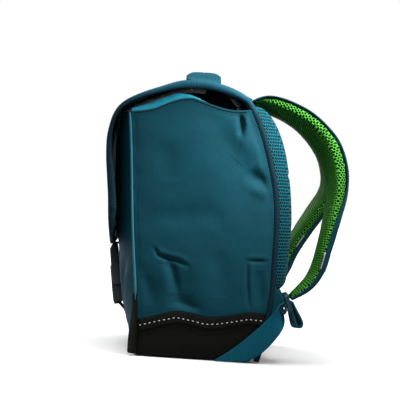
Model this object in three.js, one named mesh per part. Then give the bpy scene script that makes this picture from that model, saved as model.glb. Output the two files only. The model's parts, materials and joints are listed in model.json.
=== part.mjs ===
// A school backpack of the satchel kind: a hollow cloth body with a lid, a padded mesh back, two shoulder
// straps, a carrying handle and a side-release buckle. Lengths are in millimetres. The origin is the middle
// of the base's underside, +X points to the side with the right-hand strap, +Y to the wearer's back and +Z
// up.
import * as THREE from "three";

// Driving sizes. Tables further down hold shares of them.
const BAG = {
  width: 270, // across the two side panels
  height: 382, // from the floor to the crown of the lid
  depth: 190, // from the front seam to the back seam, at mid height
  cloth: 2, // wall of the sewn panels
  gap: 0.4, // kept between two sewn pieces
  sideSwell: 7, // how far a filled side stands out at its middle
  frontSwell: 18.5, // the same for the front
};

// How round the swell is: powers of the dome across and up, and how much of the dome's foot the boot hides.
const CROWN = { across: 0.7, up: 0.5, foot: 0.06, front: 3 };
const PIPING = { radius: 2, standOff: 0.3 };
const BINDING = { thick: 5, proud: 1, alongSeam: 9, alongLid: 12, lift: 0.6, lidStart: 0.012 };
const BOOT = { wall: 2.4, floor: 3, frontHeight: 21, foot: 3, corner: 0.014, cornerRise: 5 };
const TAPE = { wide: 15, thick: 1.2, drop: 0.5 };
const GUARD = { height: 85, wide: 8, thick: 2.4, taper: 0.46, blunt: 0.8, off: 0.2, back: 0.4 };
const PAD = { thick: 27.5, edge: 1, inset: 6, channelDepth: 7, channelWide: 34, square: 7, ease: 0.09 };
const LID = {
  thick: 4,
  bow: 6, // how far the middle of the lid's front stands out
  topPart: 0.222, // share of its length in the first colour
  overlap: 1.2,
  cornerRadius: 42,
  inset: 4.4,
  hemHeight: 7,
  lap: 2.4,
};
const RIM = { reach: 11, cloth: 1.6, end: 0.66, lean: 0.6 };
const COLLAR = { cloth: 1.4, drop: 16, reach: 46, underLid: 9, inset: 0.4, fall: 20, lip: 6 };
const PLEATS = { count: 16, depth: 2.6 };
const HANDLE = { span: 128, wide: 50, thick: 4.5, rise: 19, deep: -9.5, foot: 17, seam: 0.6 };
const STRAP = { wide: 58, cover: 3, pad: 15, gap: 0.3, reflectorThick: 1 };
const WEBBING = { wide: 34, thick: 1.8, tailThick: 3.2 };
const LOCK = { wide: 42, tall: 25, thick: 5, bar: 6, slotEnd: 3.5, corner: 3, tilt: 0.36 };
// A ladder lock's middle, as shares of half the bag's width, of its depth and of its height.
const LOCK_PLACE = { side: 0.855, deep: 0.655, up: 0.222 };
const BUCKLE = {
  wide: 43,
  tall: 80,
  thick: 10.5,
  prongThick: 9,
  prongPart: 0.34, // share of the height that the lid's half takes
  arm: 4.5,
  armPart: 0.36,
  slot: 3.5,
  bar: 5,
  corner: 6,
  edge: 1.5,
  fit: 0.5,
  standOff: 2.4,
  underLid: 11.7, // from the lid's lower end down to the buckle
};
const TONGUE = { wide: 38, thick: 1.6, sewn: 0.93, aboveBoot: 3, bow: 4.5 };
const WING = { thick: 2.4, reach: 7, low: 0.15, tip: 0.222, top: 0.275 }; // heights as shares of BAG.height

// The side outline: heights as shares of BAG.height, places as shares of BAG.depth, the front's swell as a
// share of BAG.frontSwell.
const OUTLINE = [
  { up: 0.0, front: -0.43, back: 0.42, swell: 0.27 },
  { up: 0.08, front: -0.43, back: 0.458, swell: 0.47 },
  { up: 0.155, front: -0.434, back: 0.484, swell: 0.8 },
  { up: 0.23, front: -0.449, back: 0.505, swell: 0.97 },
  { up: 0.37, front: -0.481, back: 0.508, swell: 1.0 },
  { up: 0.516, front: -0.51, back: 0.506, swell: 0.95 },
  { up: 0.586, front: -0.52, back: 0.495, swell: 0.9 },
  { up: 0.66, front: -0.533, back: 0.463, swell: 0.82 },
  { up: 0.764, front: -0.55, back: 0.405, swell: 0.7 },
  { up: 0.835, front: -0.566, back: 0.353, swell: 0.6 },
  { up: 0.89, front: -0.577, back: 0.3, swell: 0.5 },
  { up: 0.945, front: -0.586, back: 0.248, swell: 0.4 },
];

// The side panel's edges by the share of its own breadth from the front seam: its top seam, how far the
// turned-in rim rises above that, and the wavy top of the boot, all as shares of BAG.height.
const SIDE_EDGES = [
  { across: 0.0, top: 0.868, rim: 0.014, boot: 0.131 },
  { across: 0.1, top: 0.874, rim: 0.022, boot: 0.144 },
  { across: 0.2, top: 0.884, rim: 0.03, boot: 0.158 },
  { across: 0.32, top: 0.908, rim: 0.03, boot: 0.172 },
  { across: 0.45, top: 0.926, rim: 0.019, boot: 0.163 },
  { across: 0.54, top: 0.93, rim: 0.011, boot: 0.155 },
  { across: 0.63, top: 0.917, rim: 0.004, boot: 0.157 },
  { across: 0.75, top: 0.9, rim: 0.002, boot: 0.168 },
  { across: 0.88, top: 0.893, rim: 0.002, boot: 0.181 },
  { across: 1.0, top: 0.9, rim: 0.002, boot: 0.178 },
];

// Dents and ridges of the filled side panel: centre and reach as shares of its breadth and height, the turn
// in degrees, and the depth as a share of BAG.sideSwell, below zero for a ridge.
const SIDE_DENTS = [
  { across: 0.3, up: 0.33, wide: 0.12, tall: 0.045, turn: -28, depth: 0.55 },
  { across: 0.38, up: 0.22, wide: 0.07, tall: 0.13, turn: 0, depth: 0.4 },
  { across: 0.84, up: 0.84, wide: 0.1, tall: 0.14, turn: -35, depth: 0.6 },
  { across: 0.6, up: 0.8, wide: 0.16, tall: 0.12, turn: -35, depth: -0.3 },
  { across: 0.88, up: 0.62, wide: 0.1, tall: 0.07, turn: 0, depth: 0.35 },
  { across: 0.86, up: 0.2, wide: 0.1, tall: 0.16, turn: 0, depth: 0.3 },
];

// The back pad's thickness over its height: shares of BAG.height and of PAD.thick.
const PAD_LINE = [
  { up: 0.25, thick: 0.1 },
  { up: 0.256, thick: 0.5 },
  { up: 0.272, thick: 0.78 },
  { up: 0.3, thick: 0.9 },
  { up: 0.37, thick: 0.95 },
  { up: 0.48, thick: 1.0 },
  { up: 0.586, thick: 0.98 },
  { up: 0.66, thick: 1.05 },
  { up: 0.76, thick: 1.1 },
  { up: 0.835, thick: 1.0 },
  { up: 0.885, thick: 0.78 },
  { up: 0.912, thick: 0.45 },
  { up: 0.922, thick: 0.12 },
];

// The outer line of the lid's edges from the back seam over the top and down the front, as shares of
// BAG.depth and BAG.height, with the height of the bound edge there as a share of BINDING.alongLid and how
// far the lid's middle stands out as a share of LID.bow.
const LID_LINE = [
  { deep: 0.3, up: 0.9424, edge: 0.78, bow: 0 },
  { deep: 0.19, up: 0.969, edge: 0.9, bow: 0 },
  { deep: 0.08, up: 0.988, edge: 1.0, bow: 0 },
  { deep: -0.07, up: 0.9995, edge: 1.0, bow: 0 },
  { deep: -0.215, up: 0.993, edge: 0.95, bow: 0 },
  { deep: -0.32, up: 0.975, edge: 0.75, bow: 0 },
  { deep: -0.53, up: 0.932, edge: 0.55, bow: 0 },
  { deep: -0.62, up: 0.908, edge: 0.52, bow: 0 },
  { deep: -0.668, up: 0.885, edge: 0.5, bow: 0 },
  { deep: -0.695, up: 0.85, edge: 0.5, bow: 0.05 },
  { deep: -0.711, up: 0.8, edge: 0.55, bow: 0.12 },
  { deep: -0.714, up: 0.73, edge: 0.7, bow: 0.25 },
  { deep: -0.697, up: 0.64, edge: 0.95, bow: 0.55 },
  { deep: -0.676, up: 0.552, edge: 1.0, bow: 0.85 },
  { deep: -0.66, up: 0.463, edge: 1.0, bow: 1.0 },
  { deep: -0.638, up: 0.405, edge: 0.85, bow: 0.95 },
];

// Centre lines of the two shoulder straps from the back's top to the ladder locks: places as shares of half
// the bag's width, of BAG.depth and of BAG.height, breadth and fullness as shares of STRAP.wide and
// STRAP.pad, lean in degrees.
const STRAP_ROUTE = {
  right: [
    { side: 0.34, deep: 0.3055, up: 0.9385, wide: 0.84, full: 0.12, lean: 0 },
    { side: 0.34, deep: 0.379, up: 0.9503, wide: 0.9, full: 0.35, lean: 0 },
    { side: 0.35, deep: 0.442, up: 0.9435, wide: 0.97, full: 0.85, lean: 4 },
    { side: 0.37, deep: 0.516, up: 0.9309, wide: 1, full: 1, lean: 8 },
    { side: 0.41, deep: 0.616, up: 0.9084, wide: 1, full: 1, lean: 13 },
    { side: 0.45, deep: 0.726, up: 0.8743, wide: 1, full: 1, lean: 17 },
    { side: 0.49, deep: 0.805, up: 0.8403, wide: 1, full: 1, lean: 20 },
    { side: 0.53, deep: 0.876, up: 0.7971, wide: 1, full: 1, lean: 22 },
    { side: 0.58, deep: 0.921, up: 0.7539, wide: 1, full: 1, lean: 21 },
    { side: 0.63, deep: 0.955, up: 0.699, wide: 1, full: 1, lean: 18 },
    { side: 0.69, deep: 0.968, up: 0.6283, wide: 1, full: 1, lean: 13 },
    { side: 0.73, deep: 0.95, up: 0.555, wide: 0.99, full: 0.98, lean: 7 },
    { side: 0.77, deep: 0.918, up: 0.4738, wide: 0.97, full: 0.96, lean: 3 },
    { side: 0.8, deep: 0.889, up: 0.4058, wide: 0.94, full: 0.95, lean: 2 },
    { side: 0.82, deep: 0.863, up: 0.3534, wide: 0.9, full: 0.95, lean: 2 },
    { side: 0.84, deep: 0.821, up: 0.3102, wide: 0.85, full: 0.9, lean: 2 },
    { side: 0.85, deep: 0.766, up: 0.2801, wide: 0.78, full: 0.8, lean: 3 },
    { side: 0.855, deep: 0.666, up: 0.2405, wide: 0.66, full: 0.25, lean: 5 },
  ],
  left: [
    { side: 0.34, deep: 0.3055, up: 0.9385, wide: 0.84, full: 0.12, lean: 0 },
    { side: 0.34, deep: 0.379, up: 0.9503, wide: 0.9, full: 0.35, lean: 0 },
    { side: 0.35, deep: 0.442, up: 0.9435, wide: 0.97, full: 0.85, lean: 0 },
    { side: 0.37, deep: 0.532, up: 0.9332, wide: 1, full: 1, lean: 3 },
    { side: 0.41, deep: 0.632, up: 0.9162, wide: 1, full: 1, lean: 6 },
    { side: 0.45, deep: 0.747, up: 0.8848, wide: 1, full: 1, lean: 9 },
    { side: 0.49, deep: 0.847, up: 0.8429, wide: 1, full: 1, lean: 12 },
    { side: 0.53, deep: 0.932, up: 0.7932, wide: 1, full: 1, lean: 14 },
    { side: 0.58, deep: 0.989, up: 0.7382, wide: 1, full: 1, lean: 15 },
    { side: 0.63, deep: 1.016, up: 0.6754, wide: 1, full: 1, lean: 15 },
    { side: 0.69, deep: 0.995, up: 0.6126, wide: 1, full: 1, lean: 14 },
    { side: 0.73, deep: 0.932, up: 0.5602, wide: 0.99, full: 0.98, lean: 13 },
    { side: 0.77, deep: 0.879, up: 0.5131, wide: 0.97, full: 0.96, lean: 12 },
    { side: 0.8, deep: 0.826, up: 0.466, wide: 0.94, full: 0.95, lean: 12 },
    { side: 0.82, deep: 0.779, up: 0.4215, wide: 0.9, full: 0.95, lean: 11 },
    { side: 0.84, deep: 0.737, up: 0.3717, wide: 0.85, full: 0.9, lean: 9 },
    { side: 0.85, deep: 0.708, up: 0.3141, wide: 0.78, full: 0.8, lean: 6 },
    { side: 0.855, deep: 0.672, up: 0.2475, wide: 0.66, full: 0.25, lean: 5 },
  ],
};
// A strap is made in so many steps of its length, and its reflective patch lies between two of them.
const STRAP_STEPS = 30;
const PATCH_STEPS = { from: 23, to: 25 };

// The lower webbing between the boot and a ladder lock: its two edges, as shares of half the bag's width,
// of BAG.depth and of BAG.height.
const WEBBING_EDGES = [
  { upperSide: 1, upperDeep: 0.142, upperUp: 0.003, lowerSide: 1, lowerDeep: 0.368, lowerUp: 0.003 },
  { upperSide: 1, upperDeep: 0.237, upperUp: 0.034, lowerSide: 1, lowerDeep: 0.468, lowerUp: 0.031 },
  { upperSide: 1, upperDeep: 0.374, upperUp: 0.092, lowerSide: 0.995, lowerDeep: 0.558, lowerUp: 0.0785 },
  { upperSide: 1, upperDeep: 0.511, upperUp: 0.162, lowerSide: 0.97, lowerDeep: 0.616, lowerUp: 0.12 },
  { upperSide: 1.01, upperDeep: 0.561, upperUp: 0.196, lowerSide: 0.88, lowerDeep: 0.637, lowerUp: 0.152 },
  { upperSide: 1.005, upperDeep: 0.589, upperUp: 0.216, lowerSide: 0.755, lowerDeep: 0.625, lowerUp: 0.19 },
  { upperSide: 0.97, upperDeep: 0.629, upperUp: 0.2275, lowerSide: 0.73, lowerDeep: 0.633, lowerUp: 0.217 },
];

// The webbing's loose end below a ladder lock, a loop that turns back up: places as shares of BAG.depth and
// BAG.height, and how far its outer edge stands ahead of the inner one, as a share of WEBBING.wide.
const TAIL_LINE = [
  { deep: 0.6807, up: 0.226, ahead: 0.04 },
  { deep: 0.7057, up: 0.199, ahead: 0.12 },
  { deep: 0.7397, up: 0.166, ahead: 0.2 },
  { deep: 0.7537, up: 0.147, ahead: 0.22 },
  { deep: 0.7437, up: 0.135, ahead: 0.22 },
  { deep: 0.7207, up: 0.137, ahead: 0.2 },
  { deep: 0.7017, up: 0.155, ahead: 0.16 },
  { deep: 0.6827, up: 0.178, ahead: 0.1 },
];

const COLOURS = {
  petrol: 0x1f5f6c,
  lightTeal: 0x3f93a3,
  navy: 0x16313f,
  bindingBlue: 0x2b5c72,
  black: 0x1b1c1b,
  meshTeal: 0x2c8390,
  meshGreen: 0x56b23a,
  lining: 0x101214,
  silver: 0xc6c5cc,
  plastic: 0x16201f,
};

const half = BAG.width / 2;
const column = (table, from, to) => {
  const values = new THREE.CubicInterpolant(
    table.map((row) => row[from]),
    table.map((row) => row[to]),
    1,
  );
  return (place) => values.evaluate(place)[0];
};
const mix = THREE.MathUtils.lerp;
const vec = (x, y, z) => new THREE.Vector3(x, y, z);

// Heights and places of the body's seams, in millimetres.
const outlineFront = column(OUTLINE, "up", "front");
const outlineBack = column(OUTLINE, "up", "back");
const outlineSwell = column(OUTLINE, "up", "swell");
const frontSeam = (z) => outlineFront(z / BAG.height) * BAG.depth;
const backSeam = (z) => outlineBack(z / BAG.height) * BAG.depth;
const edgeTop = column(SIDE_EDGES, "across", "top");
const edgeRim = column(SIDE_EDGES, "across", "rim");
const edgeBoot = column(SIDE_EDGES, "across", "boot");

// A solid from its vertices and triangles, turned to face outwards.
function solid(points, triangles) {
  let volume = 0;
  for (let i = 0; i < triangles.length; i += 3) {
    const [a, b, c] = [0, 1, 2].map((k) => points[triangles[i + k]]);
    volume += a.dot(b.clone().cross(c));
  }
  if (volume < 0) triangles.reverse();
  const geometry = new THREE.BufferGeometry().setFromPoints(points);
  geometry.setIndex(triangles);
  geometry.computeVertexNormals();
  return geometry;
}

// Triangles that join two rows of vertices, which start at a and b and hold count vertices each.
function strip(triangles, a, b, count, closed) {
  const last = closed ? count : count - 1;
  for (let i = 0; i < last; i++) {
    const j = (i + 1) % count;
    triangles.push(a + i, a + j, b + j, a + i, b + j, b + i);
  }
}

// A cloth wall between an outer and an inner face. Each face is a function of across and along, from 0 to
// 1.
function wall(outer, inner, across, along, ring = false) {
  const points = [];
  const triangles = [];
  const columns = ring ? across : across + 1;
  const rows = along + 1;
  for (const face of [outer, inner])
    for (let row = 0; row < rows; row++)
      for (let i = 0; i < columns; i++) points.push(face(i / across, row / along));
  const innerStart = rows * columns;
  const at = (start, row) => start + row * columns;
  for (let row = 0; row < along; row++) strip(triangles, at(0, row), at(0, row + 1), columns, ring);
  for (let row = 0; row < along; row++)
    strip(triangles, at(innerStart, row + 1), at(innerStart, row), columns, ring);
  strip(triangles, at(innerStart, 0), at(0, 0), columns, ring);
  strip(triangles, at(0, along), at(innerStart, along), columns, ring);
  if (!ring)
    for (let row = 0; row < along; row++) {
      const [a, b] = [at(0, row), at(0, row + 1)];
      const [c, d] = [at(innerStart, row), at(innerStart, row + 1)];
      triangles.push(a, b, d, a, d, c);
      const [e, f, g, h] = [a, b, c, d].map((start) => start + columns - 1);
      triangles.push(f, e, g, f, g, h);
    }
  return solid(points, triangles);
}

// A solid through convex rings of equally many points, closed at both ends.
function loft(rings) {
  const triangles = [];
  const count = rings[0].length;
  for (let i = 0; i + 1 < rings.length; i++) strip(triangles, i * count, (i + 1) * count, count, true);
  const end = (rings.length - 1) * count;
  for (let i = 1; i + 1 < count; i++) {
    triangles.push(0, i + 1, i);
    triangles.push(end, end + i, end + i + 1);
  }
  return solid(rings.flat(), triangles);
}

// A section's corner points, given as shares of two half sizes, placed round a centre on two directions.
function ring(centre, sideways, halfSide, outwards, halfOut, corners) {
  return corners.map(([a, b]) =>
    centre
      .clone()
      .addScaledVector(sideways, a * halfSide)
      .addScaledVector(outwards, b * halfOut),
  );
}

// Sections of soft bands and of the folded hem, as shares of their half sizes.
const SOFT = [[-0.7, -1], [0.7, -1], [1, -0.4], [1, 0.4], [0.7, 1], [-0.7, 1], [-1, 0.4], [-1, -0.4]];
const HEM = [[-1, -0.9], [-0.3, -1], [1, -0.55], [1, 0.55], [-0.3, 1], [-1, 0.9]];

const parts = new THREE.Group();
function add(name, geometry, colour, roughness = 0.85, metalness = 0) {
  const material = new THREE.MeshStandardMaterial({ color: colour, roughness, metalness });
  const mesh = new THREE.Mesh(geometry, material);
  mesh.name = name;
  parts.add(mesh);
  return mesh;
}
const SIDES = { right: 1, left: -1 };

// How far the filled side panel stands out at a share across it and at a share up it.
function sideSwell(across, up) {
  const acrossDome = Math.pow(Math.sin(Math.PI * across), CROWN.across);
  const upDome = Math.pow(Math.sin(Math.PI * Math.min(1, up + CROWN.foot)), CROWN.up);
  const dome = acrossDome * upDome;
  let swell = Math.max(0, dome);
  for (const dent of SIDE_DENTS) {
    const turn = THREE.MathUtils.degToRad(dent.turn);
    const [a, b] = [across - dent.across, up - dent.up];
    const along = (a * Math.cos(turn) + b * Math.sin(turn)) / dent.wide;
    const beside = (b * Math.cos(turn) - a * Math.sin(turn)) / dent.tall;
    swell -= dent.depth * Math.exp(-along * along - beside * beside) * dome;
  }
  return swell * BAG.sideSwell;
}

// A place on the body's outline at height z, moved inwards by inset: on a side by its share from the front
// seam.
function sidePlace(sign, across, z, up, inset) {
  const from = frontSeam(z) + PIPING.radius + BAG.gap;
  return vec(sign * (half - inset + sideSwell(across, up)), mix(from, backSeam(z), across), z);
}

// The same on the front, by its share from the middle, -1 to 1.
function frontSwellAt(share, z) {
  return (1 - Math.pow(Math.abs(share), CROWN.front)) * outlineSwell(z / BAG.height) * BAG.frontSwell;
}
const frontEdge = half - PIPING.radius - BAG.gap;
function frontPlace(share, z, inset) {
  return vec(share * frontEdge, frontSeam(z) + inset - frontSwellAt(share, z), z);
}
const frontFace = (z) => frontPlace(0, z, 0).y;

// How many strips the faces of a side, of the back and of the front are made of.
const AROUND_STEPS = { side: 13, back: 4, front: 14 };
const PANEL_STEPS = { side: 15, front: 11, back: 16 };
const inCorners = (share) => THREE.MathUtils.clamp(share, BOOT.corner, 1 - BOOT.corner);
const sideTop = (across) => edgeTop(across) * BAG.height;
const bootTop = (across) => edgeBoot(across) * BAG.height;

function sidePanel(sign) {
  const face = (inset) => (across, t) => {
    const z = mix(bootTop(across) + BAG.gap, sideTop(across), t);
    return sidePlace(sign, across, z, z / sideTop(across), inset);
  };
  return wall(face(0), face(BAG.cloth), AROUND_STEPS.side, PANEL_STEPS.side);
}

// The hem above the side panel's top seam, turned in towards the mouth.
const RIM_STEPS = { around: 12, up: 3 };
function rim(sign) {
  const face = (inset) => (share, t) => {
    const across = share * RIM.end;
    const low = sideTop(across) + BAG.gap;
    const turnedIn = Math.sin((t * Math.PI) / 2) * RIM.reach * Math.min(1, edgeRim(across) / edgeRim(0.2));
    const place = sidePlace(sign, across, sideTop(across), 1, 0);
    const high = low + t * edgeRim(across) * BAG.height;
    return vec(place.x - sign * (inset + turnedIn * t), place.y, high - inset * t * RIM.lean);
  };
  return wall(face(0), face(RIM.cloth), RIM_STEPS.around, RIM_STEPS.up);
}

// The boot's front edge, low in the middle and drawn up to the side's edge at the corners.
const bootFront = (share) => mix(BOOT.frontHeight, bootTop(0), Math.pow(Math.abs(share), BOOT.cornerRise));
function frontPanel() {
  const high = sideTop(0);
  const spread = (share) => Math.sin((mix(-1, 1, share) * Math.PI) / 2);
  const face = (inset) => (share, t) => {
    const x = spread(share);
    return frontPlace(x, mix(bootFront(x) + BAG.gap, high, t), inset);
  };
  return wall(face(0), face(BAG.cloth), AROUND_STEPS.front, PANEL_STEPS.front);
}

const backTop = LID_LINE[0].up * BAG.height - LID.lap;
const bindingInner = half + BINDING.proud - BINDING.thick;
const seamTop = sideTop(1);
function backWall() {
  const low = bootTop(1) + BAG.gap;
  const face = (inset) => (share, t) => {
    const z = mix(low, backTop, t);
    const reach = z > seamTop - BINDING.alongSeam ? bindingInner - BAG.gap : half - BAG.cloth - BAG.gap;
    return vec(mix(-reach, reach, share), backSeam(z) - inset, z);
  };
  return wall(face(0), face(BAG.cloth), 2, PANEL_STEPS.back);
}

// The black tub under the body: a floor with low walls that follow the panels' outline, higher at the
// sides.
function bootPlaces(level, inset) {
  const places = [];
  const side = (sign, across) => {
    const z = level(bootTop(across));
    places.push(sidePlace(sign, across, z, z / sideTop(across), inset));
  };
  const between = (count, add) => {
    for (let i = 0; i <= count; i++) add(i / count);
  };
  between(AROUND_STEPS.side, (t) => side(1, inCorners(t)));
  between(AROUND_STEPS.back, (t) => {
    const z = level(bootTop(1));
    places.push(vec(mix(1, -1, t) * (half - BOOT.wall - PIPING.radius), backSeam(z) - inset, z));
  });
  between(AROUND_STEPS.side, (t) => side(-1, inCorners(1 - t)));
  between(AROUND_STEPS.front, (t) => {
    const share = Math.sin((mix(-1, 1, t) * Math.PI) / 2) * (1 - inset / half);
    const z = level(bootFront(share));
    places.push(frontPlace(share, z, inset));
  });
  return places;
}

const tapeLow = (top) => top - TAPE.drop - TAPE.wide;
function boot() {
  const shrink = (places, by) => {
    const [alongX, alongY] = [1 - by / half, 1 - by / (BAG.depth / 2)];
    return places.map((p) => vec(p.x * alongX, p.y * alongY, p.z));
  };
  const rings = [
    shrink(bootPlaces(() => 0, 0), BOOT.foot),
    bootPlaces(() => BOOT.foot, 0),
    bootPlaces(tapeLow, 0),
    bootPlaces((top) => top, 0),
    bootPlaces((top) => top, BOOT.wall),
    bootPlaces(tapeLow, BOOT.wall),
    bootPlaces(() => BOOT.floor, BOOT.wall),
  ];
  const points = rings.flat();
  const count = rings[0].length;
  const triangles = [];
  for (let i = 0; i + 1 < rings.length; i++) strip(triangles, i * count, (i + 1) * count, count, true);
  const under = points.push(vec(0, 0, 0)) - 1;
  const floor = points.push(vec(0, 0, BOOT.floor)) - 1;
  const last = (rings.length - 1) * count;
  for (let i = 0; i < count; i++) {
    const j = (i + 1) % count;
    triangles.push(under, j, i);
    triangles.push(floor, last + i, last + j);
  }
  return solid(points, triangles);
}

// The woven tape with the reflective stitches, along the top of the boot on each side.
function sideTape(sign) {
  const face = (lift) => (share, t) => {
    const across = inCorners(share);
    const z = mix(tapeLow(bootTop(across)), bootTop(across) - TAPE.drop, t);
    const place = sidePlace(sign, across, z, z / sideTop(across), 0);
    return place.add(vec(sign * (BAG.gap + lift), 0, 0));
  };
  return wall(face(TAPE.thick), face(0), AROUND_STEPS.side, 1);
}

// The black corner piece that tapers upwards along the front seam, and the direction that it faces.
const GUARD_FACING = { side: 0.8, front: 0.6 };
function cornerGuard(sign) {
  const rings = [];
  const steps = 8;
  for (let i = 0; i <= steps; i++) {
    const z = mix(BOOT.foot, GUARD.height, i / steps);
    const wide = GUARD.wide * Math.pow(Math.cos((i / steps) * Math.PI * GUARD.taper), GUARD.blunt);
    const centre = vec(sign * (half + PIPING.standOff + BAG.gap), frontSeam(z) - GUARD.back, z);
    const outwards = vec(sign * GUARD_FACING.side, -GUARD_FACING.front, 0);
    const sideways = vec(GUARD_FACING.front * sign, GUARD_FACING.side, 0);
    centre.addScaledVector(outwards, PIPING.radius + GUARD.thick / 2 + GUARD.off);
    rings.push(ring(centre, sideways, wide / 2, outwards, GUARD.thick / 2, SOFT));
  }
  return loft(rings);
}

function tube(places, radius, sides) {
  const corners = [];
  for (let i = 0; i < sides; i++) {
    const angle = (i / sides) * Math.PI * 2;
    corners.push(new THREE.Vector2(Math.cos(angle) * radius, Math.sin(angle) * radius));
  }
  const path = new THREE.CatmullRomCurve3(places);
  return new THREE.ExtrudeGeometry(new THREE.Shape(corners), { steps: places.length * 2, extrudePath: path });
}

function piping(sign) {
  const places = [];
  const steps = 7;
  for (let i = 0; i <= steps; i++) {
    const z = mix(BOOT.foot, sideTop(0), i / steps);
    places.push(vec(sign * (half + PIPING.standOff), frontSeam(z), z));
  }
  return tube(places, PIPING.radius, 6);
}

// The back seam's outward direction at height z, seen from the side.
function seamNormal(z) {
  const step = 2;
  const slope = (backSeam(z + step) - backSeam(z - step)) / (2 * step);
  return vec(0, 1, -slope).normalize();
}

function padPlace(share, t, outer) {
  const z = mix(PAD_LINE[0].up, PAD_LINE.at(-1).up, t) * BAG.height;
  const x = Math.sin((share * Math.PI) / 2) * (half - PAD.inset);
  const shoulder = Math.sqrt(1 - Math.pow(Math.abs(x / (half - PAD.inset)), PAD.square));
  const middle = Math.exp(-Math.pow((2 * x) / PAD.channelWide, 4)) * PAD.channelDepth;
  const thick = padThick(z / BAG.height) * PAD.thick;
  const swell = Math.max(0, shoulder * (thick - middle * Math.min(1, thick / PAD.thick)));
  const place = vec(x, backSeam(z), z);
  return place.addScaledVector(seamNormal(z), BAG.gap + (outer ? PAD.edge + swell : 0));
}
const padThick = column(PAD_LINE, "up", "thick");
const PAD_STEPS = { across: 12, up: 17 };
function backPad() {
  const eased = (t) => t - Math.sin(2 * Math.PI * t) * PAD.ease;
  const face = (outer) => (share, t) => padPlace(mix(-1, 1, share), eased(t), outer);
  return wall(face(true), face(false), PAD_STEPS.across, PAD_STEPS.up);
}

const lidLine = new THREE.SplineCurve(
  LID_LINE.map((row) => new THREE.Vector2(row.deep * BAG.depth, row.up * BAG.height)),
);
const lidLength = lidLine.getLength();
// A column of the lid's table at a share of the lid's length.
const lidShares = LID_LINE.map((row) => ({ ...row, share: 0 }));
for (let i = 1; i < lidShares.length; i++) {
  const step = Math.hypot(
    (lidShares[i].deep - lidShares[i - 1].deep) * BAG.depth,
    (lidShares[i].up - lidShares[i - 1].up) * BAG.height,
  );
  lidShares[i].share = lidShares[i - 1].share + step;
}
for (const row of lidShares) row.share /= lidShares.at(-1).share || 1;
const lidEdgeShare = column(lidShares, "share", "edge");
const lidBow = column(lidShares, "share", "bow");
const lidEdge = (share) => lidEdgeShare(share) * BINDING.alongLid;
// A place on the lid at a share of its length, at x across it, and at a depth below its outer face.
function lidPlace(share, x, below) {
  const place = lidLine.getPointAt(share);
  const tangent = lidLine.getTangentAt(share);
  const depth = below - lidBow(share) * LID.bow * (1 - (x / half) ** 2);
  return vec(x, place.x - tangent.y * depth, place.y + tangent.x * depth);
}
const lidHalf = half - LID.inset;
const cornerShare = 1 - LID.cornerRadius / lidLength;
function lidReach(share) {
  if (share <= cornerShare) return lidHalf;
  const left = LID.cornerRadius - (share - cornerShare) * lidLength;
  const across = Math.sqrt(Math.max(0, LID.cornerRadius ** 2 - (LID.cornerRadius - left) ** 2));
  return lidHalf - LID.cornerRadius + across;
}

const LID_STEPS = { top: 7, front: 24, straight: 0.75 };
function lidTop() {
  const face = (below) => (across, t) => lidPlace(t * LID.topPart, mix(-lidHalf, lidHalf, across), below);
  return wall(face(0), face(LID.thick), 2, LID_STEPS.top);
}

function lidFront() {
  const from = LID.topPart + BAG.gap / lidLength;
  const face = (below) => (across, t) => {
    const turned = Math.max(0, (t - LID_STEPS.straight) / (1 - LID_STEPS.straight));
    const straight = Math.min(1, t / LID_STEPS.straight);
    const round = Math.sin((turned * Math.PI) / 2);
    const share = turned > 0 ? mix(cornerShare, 1, round) : mix(from, cornerShare, straight);
    return lidPlace(share, mix(-1, 1, across) * lidReach(share), below + LID.overlap);
  };
  return wall(face(0), face(LID.thick - LID.overlap), 4, LID_STEPS.front);
}

// The bound edge: up the back seam, over the lid's side and down to where the lid's corner starts.
function edgeBinding(sign) {
  const rings = [];
  const x = sign * (half + BINDING.proud - BINDING.thick / 2);
  const across = vec(sign, 0, 0);
  const seamSteps = 14;
  for (let i = 0; i <= seamSteps; i++) {
    const z = mix(BOOT.foot, seamTop, i / seamSteps);
    const normal = seamNormal(z);
    const centre = vec(x, backSeam(z), z).addScaledVector(normal, BAG.gap + BINDING.alongSeam / 2);
    rings.push(ring(centre, across, BINDING.thick / 2, normal, BINDING.alongSeam / 2, HEM));
  }
  const lidSteps = 20;
  for (let i = 0; i <= lidSteps; i++) {
    const share = mix(BINDING.lidStart, cornerShare, i / lidSteps);
    const height = lidEdge(share);
    const outer = lidPlace(share, x, -BINDING.lift);
    const inner = lidPlace(share, x, height - BINDING.lift);
    const centre = outer.clone().add(inner).multiplyScalar(0.5);
    const outwards = outer.sub(inner).normalize();
    rings.push(ring(centre, across, BINDING.thick / 2, outwards, height / 2, HEM));
  }
  return loft(rings);
}

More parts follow.
